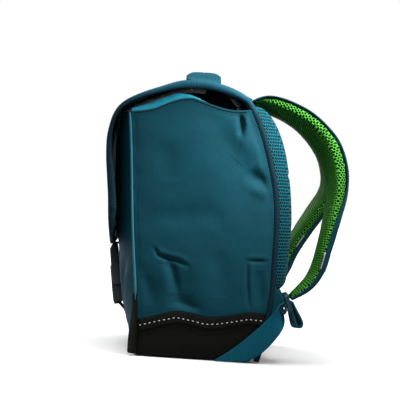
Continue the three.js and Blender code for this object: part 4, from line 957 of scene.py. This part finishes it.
class OBJECT_OT_backpack_front_and_back(bpy.types.Operator):
    """Makes the bulging front panel and the back wall"""

    bl_idname = "object.backpack_front_and_back"
    bl_label = "Front and back"

    def execute(self, context):
        front = cloth_copy("front_panel", "front_cloth", 3)
        p = places_of(front)
        x, z = p[:, 0], p[:, 2]
        lower = 21 + 29 * np.abs(x / HALF_FRONT) ** 5
        edge = np.minimum(HALF_FRONT - np.abs(x), np.minimum(z - lower, 331 - z))
        flat = np.column_stack([x, np.full(len(x), 20.0), z])
        amount = fold_moves(np.column_stack([x, z]), FRONT_FOLDS) * sizes().fold_strength
        amount += unevenness(flat, 75, 6.2) * 1.2 + unevenness(flat, 24, 1.4) * 0.45
        p[:, 1] -= smooth_step(edge, 0.5, 12) * np.minimum(amount, 1.5)
        under_lid = smooth_step(z, 138, 205) * (1 - 0.8 * smooth_step(z, 312, 332))
        filled = 3.5 + 2.5 * smooth_step(z, 30, 70) + 5.5 * under_lid
        p[:, 1] -= filled * (1 - np.abs(x / HALF_FRONT) ** 4)
        put_places(front, p)
        flat_pattern(front, 0, 2)
        dress(front, "petrol_cloth", "petrol_cloth", "front_panel")

        back = cloth_copy("back_wall", "back_cloth", 3)
        flat_pattern(back, 0, 2)
        dress(back, "petrol_cloth", "petrol_cloth", "back_wall")
        return {"FINISHED"}


class OBJECT_OT_backpack_boot(bpy.types.Operator):
    """Makes the black boot, its tapes, its corner strips and the bright stitches"""

    bl_idname = "object.backpack_boot"
    bl_label = "Boot"

    def execute(self, context):
        boot = cloth_copy("boot", "boot_shell", 3, 0.7)
        p = places_of(boot)
        hold = smooth_step(p[:, 2], 3, 12) * smooth_step(-p[:, 2], -46, -26)
        crumple(boot, 45, 1.2, 4.0, hold)
        p = places_of(boot)
        p[:, 1] -= 3.5 * smooth_step(-p[:, 1], 70, 82) * (1 - np.abs(p[:, 0] / HALF_BOOT) ** 4)
        put_places(boot, p)
        flat_pattern(boot, 1, 2)
        dress(boot, "boot_cloth", "boot_cloth", "boot", angle=45)
        bright = []
        for side, sign in SIDES.items():
            tape = cloth_copy(f"side_tape_{side}", f"boot_tape_{side}", 3)
            p = places_of(tape)
            p[:, 1] += 3.0 * smooth_step(p[:, 1], 78, 91)
            put_places(tape, p)
            flat_pattern(tape, 1, 2)
            dress(tape, "tape", "black_webbing", f"side_tape_{side}")
            surface = surface_of(tape)
            ys = np.linspace(-80, 88, 90)
            across = (ys + 84) / (92 + 84)
            lows = np.interp(across, ACROSS, BOOT_EDGE)
            inwards = (-sign, 0, 0)
            under_edge = [(sign * SIDE_PLANE, y, z - BRIGHT_DROP) for y, z in zip(ys, lows)]
            bright.append(laid_on(surface, under_edge, inwards))
            shell = surface_of(boot)
            rows = []
            for drop in BOOT_SEAM_DROPS:
                rows.append(laid_on(shell, [(sign * SIDE_PLANE, y, z - drop) for y, z in zip(ys, lows)], inwards))
            seam_cord(f"boot_seam_{side}", "boot_cloth", "boot_cloth", rows, SEAM_CORD)
            guard = solid_copy(f"corner_guard_{side}", f"corner_strip_{side}")
            subdivide(guard, 2)
            p = places_of(guard)
            # The strip wraps round the corner: its front part turns inwards and its inner side reaches the boot.
            low = 1 - smooth_step(p[:, 2], 20, 84)
            ahead = smooth_step(-p[:, 1], 82, 87)
            p[:, 0] -= sign * 5.2 * ahead
            p[:, 1] -= (0.8 * (1 - ahead) + 3.4 * ahead) * low + 0.8 * ahead
            normal = normals_of(guard)
            p[:, 1] += 6.5 * ahead * smooth_step(normal[:, 1], 0.1, 0.7)
            inner = smooth_step(normal[:, 1] - sign * normal[:, 0], 0.1, 0.8)
            p[:, 0] -= sign * 4.5 * inner
            p[:, 1] += 2.5 * inner * (1 - smooth_step(p[:, 2], 66, 80))
            put_places(guard, p)
            flat_pattern(guard, 1, 2)
            dress(guard, "boot_cloth", "boot_cloth", f"corner_guard_{side}")
        stitch_row("bright_stitches", "bright_thread", "reflector", bright, sizes().bright_pitch, *BRIGHT_STITCH)
        return {"FINISHED"}


class OBJECT_OT_backpack_seams(bpy.types.Operator):
    """Makes the piped front seams and the bound edges of back and lid"""

    bl_idname = "object.backpack_seams"
    bl_label = "Piping and binding"

    def execute(self, context):
        line = [(133.5, y + 4, z) for y, z in BACK_SEAM[:-1]] + [(133.5, y, z) for y, z in LID_LINE]
        for side, sign in SIDES.items():
            cord = solid_copy(f"piping_{side}", f"piping_cord_{side}")
            subdivide(cord, 2)
            p = places_of(cord)
            # Under the corner strip the cord lies close to the seam.
            under = 1 - smooth_step(p[:, 2], 78, 90)
            p[:, 0] += (sign * 134.4 - p[:, 0]) * 0.75 * under
            p[:, 1] += (line_at(FRONT_SEAM, p[:, 2]) - 1.2 - p[:, 1]) * 0.75 * under
            put_places(cord, p)
            flat_pattern(cord, 1, 2)
            dress(cord, "piping", "piping", f"piping_{side}")
            binding = cloth_copy(f"edge_binding_{side}", f"bound_edge_{side}", 2, 0.9, 60)
            hang_forward(binding)
            crumple(binding, 26, 0.5, sign)
            band_pattern(binding, [(sign * x, y, z) for x, y, z in line])
            dress(binding, "binding_tape", "binding_tape", f"edge_binding_{side}")
        hem = cloth_copy("lid_hem", "lid_bound_end", 2, 0.9, 60)
        p = places_of(hem)
        p[:, 2] += 3.0 * smooth_step(p[:, 2], 185, 196) - 1.5 * (1 - smooth_step(p[:, 2], 149, 165))
        put_places(hem, p)
        hang_forward(hem)
        flat_pattern(hem, 2, 0)
        dress(hem, "binding_tape", "binding_tape", "lid_hem")
        return {"FINISHED"}


class OBJECT_OT_backpack_lid(bpy.types.Operator):
    """Makes the lid's plain top and its printed front"""

    bl_idname = "object.backpack_lid"
    bl_label = "Lid"

    def execute(self, context):
        line = [(0, y, z) for y, z in LID_LINE]
        for node, name, kind, slot in (
            ("lid_top", "lid_top_cloth", "petrol_cloth", "petrol_cloth"),
            ("lid_front", "lid_front_cloth", "printed_cloth", "navy_cloth"),
        ):
            cloth = cloth_copy(node, name, 4 if node == "lid_top" else 3, 0.8)
            edge = HALF_LID - np.abs(places_of(cloth)[:, 0])
            crumple(cloth, 60, 1.3, 2.5, smooth_step(edge, 0.5, 18) * 0.9)
            crumple(cloth, 22, 0.4, 7.5, smooth_step(edge, 0.5, 9))
            hang_forward(cloth)
            band_pattern(cloth, line)
            dress(cloth, kind, slot, node)
        return {"FINISHED"}


class OBJECT_OT_backpack_collar(bpy.types.Operator):
    """Makes the gathered lining in the mouth"""

    bl_idname = "object.backpack_collar"
    bl_label = "Collar"

    def execute(self, context):
        collar = cloth_copy("collar", "mouth_lining", 3)
        p = places_of(collar)
        hold = smooth_step(p[:, 2], 326, 336)
        sides = (0.5 + 0.5 * smooth_step(np.abs(p[:, 0]), 50, 84)) * smooth_step(p[:, 2], 328, 346)
        p[:, 2] += sides * np.interp(p[:, 1], [-60, -20, -8, 8, 20, 40, 60], [2, 11, 14, 15, 14, 9, 2])
        put_places(collar, p)
        crumple(collar, 20, 2.4, 1.7, hold)
        crumple(collar, 9, 1.1, 5.1, hold)
        flat_pattern(collar, 0, 1)
        dress(collar, "lining", "black_lining", "collar")
        return {"FINISHED"}


class OBJECT_OT_backpack_handle(bpy.types.Operator):
    """Makes the carrying handle with its sewn feet"""

    bl_idname = "object.backpack_handle"
    bl_label = "Handle"

    def execute(self, context):
        handle = solid_copy("handle", "carrying_handle")
        subdivide(handle, 3)
        p = places_of(handle)
        normal = normals_of(handle)
        across = (p[:, 1] - HANDLE_MIDDLE) / HANDLE_HALF
        raised = smooth_step(60 - np.abs(p[:, 0]), 8, 30)
        crown = (1 - np.clip(np.abs(across), 0, 1) ** 2.5) * 1.3 * raised
        groove = np.exp(-(((np.abs(across) - 0.74) / 0.07) ** 2)) * 0.9
        middle = np.exp(-((across / 0.035) ** 2)) * 0.8
        put_places(handle, p + normal * (crown - (groove + middle) * 0.6 * raised)[:, None])
        p = places_of(handle)
        p[:, 2] -= 1.6 * smooth_step(p[:, 2], 384, 392)
        from_middle = np.abs(p[:, 1] - HANDLE_MIDDLE)
        p[:, 2] -= 2.6 * smooth_step(from_middle, 17, HANDLE_HALF) * smooth_step(p[:, 2], 386, 392)
        put_places(handle, p)
        crumple(handle, 20, 0.4, 3.3)
        flat_pattern(handle, 1, 0)
        # The handle takes the darkened copy of the light teal, a painted shade.
        dress(handle, "handle_shaded_teal", "light_teal_cloth", "handle")
        surface = surface_of(handle)
        rows = []
        for y in (-28, -10.6, 9):
            rows.append(laid_on(surface, [(x, y, 400) for x in np.linspace(-56, 56, 60)], (0, 0, -1)))
        for sign in (1, -1):
            for x in (46, 58):
                rows.append(laid_on(surface, [(sign * x, y, 400) for y in np.linspace(-30, 11, 24)], (0, 0, -1)))
        stitch_row("handle_stitches", "teal_thread", "light_teal_cloth", rows, sizes().stitch_pitch, *HANDLE_STITCH)
        return {"FINISHED"}


class OBJECT_OT_backpack_back_pad(bpy.types.Operator):
    """Makes the padded mesh back with its air channel"""

    bl_idname = "object.backpack_back_pad"
    bl_label = "Back pad"

    def execute(self, context):
        pad = solid_copy("back_pad", "mesh_back_pad")

        def away_from_wall(start):
            return smooth_step(start[:, 1] - line_at(BACK_SEAM, start[:, 2]), 3, 9)

        swell_padding(pad, 0.005, sizes().pad_swell, away_from_wall)
        p = places_of(pad)
        x, y, z = p.T
        above = y - line_at(BACK_SEAM, z)
        normal = normals_of(pad)
        face = smooth_step(above, 8, 16)
        channel = np.exp(-((np.maximum(0, np.abs(x) - 9) / 8) ** 2)) * 2.6
        edge_seam = np.exp(-(((np.abs(x) - PAD_SEAM) / 2.6) ** 2)) * 2.2
        cross = sum(np.exp(-(((z - at - 6 * np.cos(x / 40)) / 2.8) ** 2)) for at in PAD_CROSS_SEAMS) * 2.4
        cross *= smooth_step(np.abs(x), 18, 26) * smooth_step(-np.abs(x), -104, -96)
        put_places(pad, p - normal * ((channel + edge_seam + cross) * face)[:, None])
        p = places_of(pad)
        depth = np.maximum(0, 24 - (p[:, 1] - line_at(BACK_SEAM, p[:, 2])))
        set_pattern(pad, p[:, 0] + np.sign(p[:, 0]) * depth * smooth_step(np.abs(p[:, 0]), 100, 112), p[:, 2])
        dress(pad, "teal_mesh", "teal_mesh", "back_pad")
        surface = surface_of(pad)
        rows = []
        for sign in (1, -1):
            rows.append(laid_on(surface, [(sign * PAD_SEAM, 130, z) for z in np.linspace(112, 338, 120)], (0, -1, 0)))
            for at in PAD_CROSS_SEAMS:
                xs = np.linspace(22, 100, 40)
                rows.append(laid_on(surface, [(sign * x, 130, at + 6 * np.cos(x / 40)) for x in xs], (0, -1, 0)))
        stitch_row("pad_stitches", "petrol_thread", "teal_mesh", rows, sizes().stitch_pitch * 1.2, *PAD_STITCH)
        return {"FINISHED"}


class OBJECT_OT_backpack_straps(bpy.types.Operator):
    """Makes the shoulder straps: mesh padding, cloth cover and reflective patch"""

    bl_idname = "object.backpack_straps"
    bl_label = "Shoulder straps"

    def execute(self, context):
        for side, sign in SIDES.items():
            line = [(sign * x, y, z) for x, y, z in STRAP_LINE[side]]
            pad = solid_copy(f"strap_pad_{side}", f"strap_padding_{side}")
            cover_side = solid_copy(f"strap_cover_{side}", f"strap_cloth_{side}")
            surface = surface_of(cover_side)

            def away_from_cover(start):
                near = [surface.find_nearest(Vector(q) / MM)[3] * MM for q in start]
                return smooth_step(np.array(near), 0.8, 5)

            swell_padding(pad, 0.004, sizes().pad_swell * 0.7, away_from_cover)
            band_pattern(pad, line, 9)
            dress(pad, "green_mesh", "green_mesh", f"strap_pad_{side}")

            crease_borders(cover_side, 60, 0.5)
            subdivide(cover_side, 2)
            turn_down(cover_side, line, 1.1)
            crumple(cover_side, 32, 0.6, sign * 2.0)
            band_pattern(cover_side, line)
            dress(cover_side, "petrol_cloth", "petrol_cloth", f"strap_cover_{side}")

            patch = cloth_copy(f"strap_reflector_{side}", f"strap_patch_{side}", 2)
            turn_down(patch, line, 4.4, 4.5, 4.0)
            band_pattern(patch, line)
            dress(patch, "reflector", "reflector", f"strap_reflector_{side}")

            outer = surface_of(cover_side)
            fine = resample(smooth_line(line), 150)[4:-6]
            rows = []
            for shift in (-1, 1):
                row = []
                for i, place in enumerate(fine):
                    along = fine[min(i + 1, len(fine) - 1)] - fine[max(i - 1, 0)]
                    outwards = np.cross(along, (-1, 0, 0))
                    outwards /= np.linalg.norm(outwards)
                    half = np.interp(i, [0, 20, 90, 125, 145], [22.5, 26, 26, 22, 17])
                    start = place + outwards * 30 + np.array([shift * half, 0, 0])
                    row += laid_on(outer, [start], -outwards, 45.5)
                rows.append(row)
            name, pitch = f"strap_stitches_{side}", sizes().stitch_pitch
            stitch_row(name, "petrol_thread", "petrol_cloth", rows, pitch, *STRAP_STITCH)
        return {"FINISHED"}


class OBJECT_OT_backpack_lower_straps(bpy.types.Operator):
    """Makes the lower webbing, its loose ends, the ladder locks and the corner tabs"""

    bl_idname = "object.backpack_lower_straps"
    bl_label = "Lower straps"

    def execute(self, context):
        for side, sign in SIDES.items():
            for node, name, line in (
                (f"lower_webbing_{side}", f"lower_band_{side}", WEBBING_LINE),
                (f"webbing_tail_{side}", f"band_end_{side}", TAIL_LINE),
            ):
                band = cloth_copy(node, name, 3, 0.85)
                p = places_of(band)
                fine = smooth_line([(sign * x, y, z) for x, y, z in line])
                length = np.linalg.norm(np.diff(fine, axis=0), axis=1).sum()
                _, _, share = along_line(p, fine)
                at, even = np.linspace(0, 1, 200), resample(fine, 200)
                middle = np.column_stack([np.interp(share, at, even[:, k]) for k in range(3)])
                off = p - middle
                across = np.linalg.norm(off, axis=1) * np.sign(off[:, 2] + off[:, 0] * sign * 0.5)
                set_pattern(band, across, share * length)
                if line is TAIL_LINE:
                    put_places(band, p + smooth_step(share, 0.78, 1.0)[:, None] * np.array([0, -1.5, 7.5]))
                dress(band, "petrol_webbing", "petrol_webbing", node)
            lock = moulded_copy(f"ladder_lock_{side}", f"ladder_lock_body_{side}", 0.0012)
            put_places(lock, places_of(lock) + normals_of(lock) * 0.7)
            flat_pattern(lock, 0, 2)
            dress(lock, "petrol_plastic", "black_plastic", f"ladder_lock_{side}", angle=40)
            wing = cloth_copy(f"corner_wing_{side}", f"corner_tab_{side}", 2, 0.9)
            p = places_of(wing)
            tip = smooth_step(p[:, 1], 106, 113.7)
            p[:, 1] -= 7.5 * (1 - smooth_step(p[:, 1], 102, 113))
            p[:, 2] += 4.0 * smooth_step(p[:, 2], 92, 105) - 10.0 * (1 - smooth_step(p[:, 2], 70, 96))
            p[:, 1] += 5.0 * (1 - smooth_step(p[:, 2], 70, 96)) * smooth_step(p[:, 1], 95, 104)
            p[:, 1] += 6.5 * tip
            p[:, 2] += 4.0 * tip
            put_places(wing, p)
            crumple(wing, 16, 0.5, sign * 3.0)
            flat_pattern(wing, 1, 2)
            dress(wing, "petrol_cloth", "navy_cloth", f"corner_wing_{side}")
        return {"FINISHED"}


class OBJECT_OT_backpack_buckle(bpy.types.Operator):
    """Makes the side-release buckle and its two bands"""

    bl_idname = "object.backpack_buckle"
    bl_label = "Buckle"

    def execute(self, context):
        for node, name in (("buckle_socket", "buckle_lower_half"), ("buckle_prong", "buckle_upper_half")):
            half = moulded_copy(node, name, 0.0019)
            p = places_of(half)
            middle = np.interp(p[:, 2], [61.9, 88, 142.6], [-114.5, -117, -119])
            p[:, 1] += np.clip((p[:, 1] - middle) * 0.45, -1.6, 3.4)
            ends = smooth_step(p[:, 2], 138, 142) + smooth_step(-p[:, 2], -67, -63)
            p[:, 1] -= (p[:, 1] - middle) * 0.45 * ends
            p[:, 2] += 4.0 * smooth_step(p[:, 2], 134, 142) - 3.5 * smooth_step(-p[:, 2], -72, -62)
            put_places(half, p)
            flat_pattern(half, 0, 2)
            dress(half, "plastic", "black_plastic", node, angle=40)
        face = surface_of(bpy.data.objects["buckle_lower_half"])
        low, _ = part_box("buckle_socket")
        ribs = []
        for i in range(4):
            height = low[2] * MM + 16 + i * 4.2
            place, _ = laid_on(face, [(0, -150, height)], (0, 1, 0))[0]
            bpy.ops.object.select_all(action="DESELECT")
            bpy.ops.mesh.primitive_cube_add(size=1, location=place)
            rib = bpy.context.object
            rib.scale = (0.022 - 0.003 * i, 0.0016, 0.0018)
            bpy.ops.object.transform_apply(location=True, rotation=False, scale=True)
            apply_modifier(rib, "BEVEL", width=0.0006, segments=2)
            ribs.append(rib)
        bpy.ops.object.select_all(action="DESELECT")
        for rib in ribs:
            rib.select_set(True)
        bpy.context.view_layer.objects.active = ribs[0]
        bpy.ops.object.join()
        grip = bpy.context.object
        grip.name = "buckle_grip_ribs"
        flat_pattern(grip, 0, 2)
        dress(grip, "plastic", "black_plastic", angle=40)
        for node, name in (("buckle_tongue", "buckle_upper_band"), ("buckle_anchor", "buckle_lower_band")):
            band = cloth_copy(node, name, 3, 0.85)
            if node == "buckle_tongue":
                p = places_of(band)
                p[:, 1] += 2.6 * np.sign(p[:, 1] - np.interp(p[:, 2], [140, 156], [-118, -121]))
                put_places(band, p)
            flat_pattern(band, 0, 2)
            dress(band, "black_webbing", "black_webbing", node)
        return {"FINISHED"}


class OBJECT_OT_backpack_stitches(bpy.types.Operator):
    """Lays the seam stitches on the finished cloth"""

    bl_idname = "object.backpack_stitches"
    bl_label = "Stitches"

    def execute(self, context):
        objects = bpy.data.objects
        rows, bound, top_seams = [], [], []
        for side, sign in SIDES.items():
            panel = surface_of(objects[f"side_cloth_{side}"])
            inwards = (-sign, 0, 0)
            zs = np.linspace(58, 326, 140)
            rows.append(laid_on(panel, [(sign * SIDE_PLANE, line_at(FRONT_SEAM, z) + 9.5, z) for z in zs], inwards))
            shares = np.linspace(0.03, 0.97, 90)
            tops = np.interp(shares, ACROSS, TOP_SEAM)
            ys = line_at(FRONT_SEAM, tops) + shares * (line_at(BACK_SEAM, tops) - line_at(FRONT_SEAM, tops))
            top_seams.append(laid_on(panel, [(sign * SIDE_PLANE, y, z - 1.2) for y, z in zip(ys, tops)], inwards))
            rows.append(laid_on(panel, [(sign * SIDE_PLANE, y, z - 4.5) for y, z in zip(ys, tops)], inwards))
            edge = surface_of(objects[f"bound_edge_{side}"])
            seam = [(sign * SIDE_PLANE, y + 2.2, z) for y, z in resample(BACK_SEAM[:-1], 160)]
            lid = resample(smooth_line([(y, z) for y, z in LID_LINE])[:-8], 200)
            over = []
            for i in range(1, len(lid) - 1):
                step = lid[i + 1] - lid[i - 1]
                down = np.array([-step[1], step[0]]) / np.linalg.norm(step)
                over.append((sign * SIDE_PLANE, *(lid[i] + down * 6.6)))
            bound.append(laid_on(edge, seam, inwards))
            bound.append(laid_on(edge, over, inwards))
        pitch = sizes().stitch_pitch
        stitch_row("side_stitches", "petrol_thread", "petrol_cloth", rows, pitch, *SEAM_STITCH)
        stitch_row("binding_stitches", "binding_thread", "binding_tape", bound, pitch, *SEAM_STITCH)
        # Black cords along the side panels' top seams: painted shade of the seam's groove.
        seam_cord("top_seam_cords", "painted_seam_shade", "petrol_cloth", top_seams, SEAM_CORD)
        return {"FINISHED"}


# Stage

# The camera's distance, its turns to the front, up and about its own line in degrees, its lens and where it looks.
CAMERA = {"distance": 2.2, "front": 1.18, "up": 0.8, "roll": 3.78, "lens": 136.3, "aim": (0, -0.0029, 0.2161)}

# Strengths of the lights and where they stand.
STUDIO = {
    "ambient": 0.23,
    "fill": 1.5,
    "key": 54,
    "key_place": (0.38, 0.38, 0.64),
    "sky": 4.4,
    "sky_from": (0.06, 0.03, 0.99),
}


def lamp(name, kind, place, aim, power, **settings):
    """A light that looks at a place."""
    data = bpy.data.lights.new(name, kind)
    data.energy = power
    for key, value in settings.items():
        setattr(data, key, value)
    obj = bpy.data.objects.new(name, data)
    bpy.context.collection.objects.link(obj)
    obj.location = place
    obj.rotation_euler = (Vector(aim) - Vector(place)).to_track_quat("-Z", "Y").to_euler()
    obj.visible_camera = False


class OBJECT_OT_backpack_stage(bpy.types.Operator):
    """Makes the pale floor, the soft lights and the camera"""

    bl_idname = "object.backpack_stage"
    bl_label = "Stage"

    def execute(self, context):
        bpy.ops.object.select_all(action="DESELECT")
        bpy.ops.mesh.primitive_plane_add(size=14, location=(0, 0, CAD_BOX[0][2] - 0.0002))
        floor = bpy.context.object
        floor.name = "floor"
        f = Finish("pale_floor", 0.9)
        tone = f.between(f.ramp(f.mottle(3), 0.2, 0.8), (0.86, 0.86, 0.86, 1), (0.9, 0.9, 0.9, 1))
        floor.data.materials.append(f.done(tone))
        floor.visible_diffuse = False
        scene = context.scene
        scene.view_settings.view_transform = "Standard"
        world = bpy.data.worlds.new("studio")
        world.use_nodes = True
        nodes, links = world.node_tree.nodes, world.node_tree.links
        seen, lit, both = nodes["Background"], nodes.new("ShaderNodeBackground"), nodes.new("ShaderNodeMixShader")
        seen.inputs[0].default_value = lit.inputs[0].default_value = (1, 1, 1, 1)
        seen.inputs[1].default_value, lit.inputs[1].default_value = 1.0, STUDIO["ambient"]
        links.new(nodes.new("ShaderNodeLightPath").outputs["Is Camera Ray"], both.inputs[0])
        links.new(lit.outputs[0], both.inputs[1])
        links.new(seen.outputs[0], both.inputs[2])
        links.new(both.outputs[0], nodes["World Output"].inputs[0])
        scene.world = world
        soft = {"spot_size": math.radians(38), "spot_blend": 1.0, "shadow_soft_size": 0.1}
        lamp("key", "SPOT", STUDIO["key_place"], (0.13, 0.09, 0.33), STUDIO["key"], **soft)
        lamp("fill", "SUN", (-0.9, -0.55, 0.4), (0, 0, 0), STUDIO["fill"], angle=math.radians(60))
        lamp("sky", "SUN", STUDIO["sky_from"], (0, 0, 0), STUDIO["sky"], angle=math.radians(75))
        a, e, r = (math.radians(CAMERA[k]) for k in ("front", "up", "roll"))
        back = Vector((math.cos(a) * math.cos(e), -math.sin(a) * math.cos(e), math.sin(e)))
        right = (-back).cross(Vector((0, 0, 1))).normalized()
        up = right.cross(-back)
        turned_right = right * math.cos(r) + up * math.sin(r)
        turned_up = up * math.cos(r) - right * math.sin(r)
        data = bpy.data.cameras.new("camera")
        data.lens, data.sensor_width = CAMERA["lens"], 36
        camera = bpy.data.objects.new("camera", data)
        bpy.context.collection.objects.link(camera)
        turn = Matrix((turned_right, turned_up, back)).transposed().to_4x4()
        camera.matrix_world = Matrix.Translation(Vector(CAMERA["aim"]) + back * CAMERA["distance"]) @ turn
        scene.camera = camera
        return {"FINISHED"}


STEPS = (
    OBJECT_OT_backpack_sides,
    OBJECT_OT_backpack_front_and_back,
    OBJECT_OT_backpack_boot,
    OBJECT_OT_backpack_seams,
    OBJECT_OT_backpack_lid,
    OBJECT_OT_backpack_collar,
    OBJECT_OT_backpack_handle,
    OBJECT_OT_backpack_back_pad,
    OBJECT_OT_backpack_straps,
    OBJECT_OT_backpack_lower_straps,
    OBJECT_OT_backpack_buckle,
    OBJECT_OT_backpack_stitches,
    OBJECT_OT_backpack_stage,
)


class VIEW3D_PT_backpack(bpy.types.Panel):
    """Lists the steps, sizes and colours of the backpack"""

    bl_label = "School backpack"
    bl_space_type = "VIEW_3D"
    bl_region_type = "UI"
    bl_category = "Backpack"

    def draw(self, context):
        layout = self.layout
        for group in (context.scene.backpack_sizes, context.scene.backpack_colours):
            for name in group.__annotations__:
                layout.prop(group, name)
        for step in STEPS:
            layout.operator(step.bl_idname)


CLASSES = (BackpackSizes, BackpackColours, *STEPS, VIEW3D_PT_backpack)


def register():
    for cls in CLASSES:
        bpy.utils.register_class(cls)
    bpy.types.Scene.backpack_sizes = bpy.props.PointerProperty(type=BackpackSizes)
    bpy.types.Scene.backpack_colours = bpy.props.PointerProperty(type=BackpackColours)


def unregister():
    del bpy.types.Scene.backpack_sizes
    del bpy.types.Scene.backpack_colours
    for cls in reversed(CLASSES):
        bpy.utils.unregister_class(cls)


def main():
    """Builds the backpack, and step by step."""
    register()
    for step in STEPS:
        group, name = step.bl_idname.split(".")
        getattr(getattr(bpy.ops, group), name)()


if __name__ == "__main__":
    main()
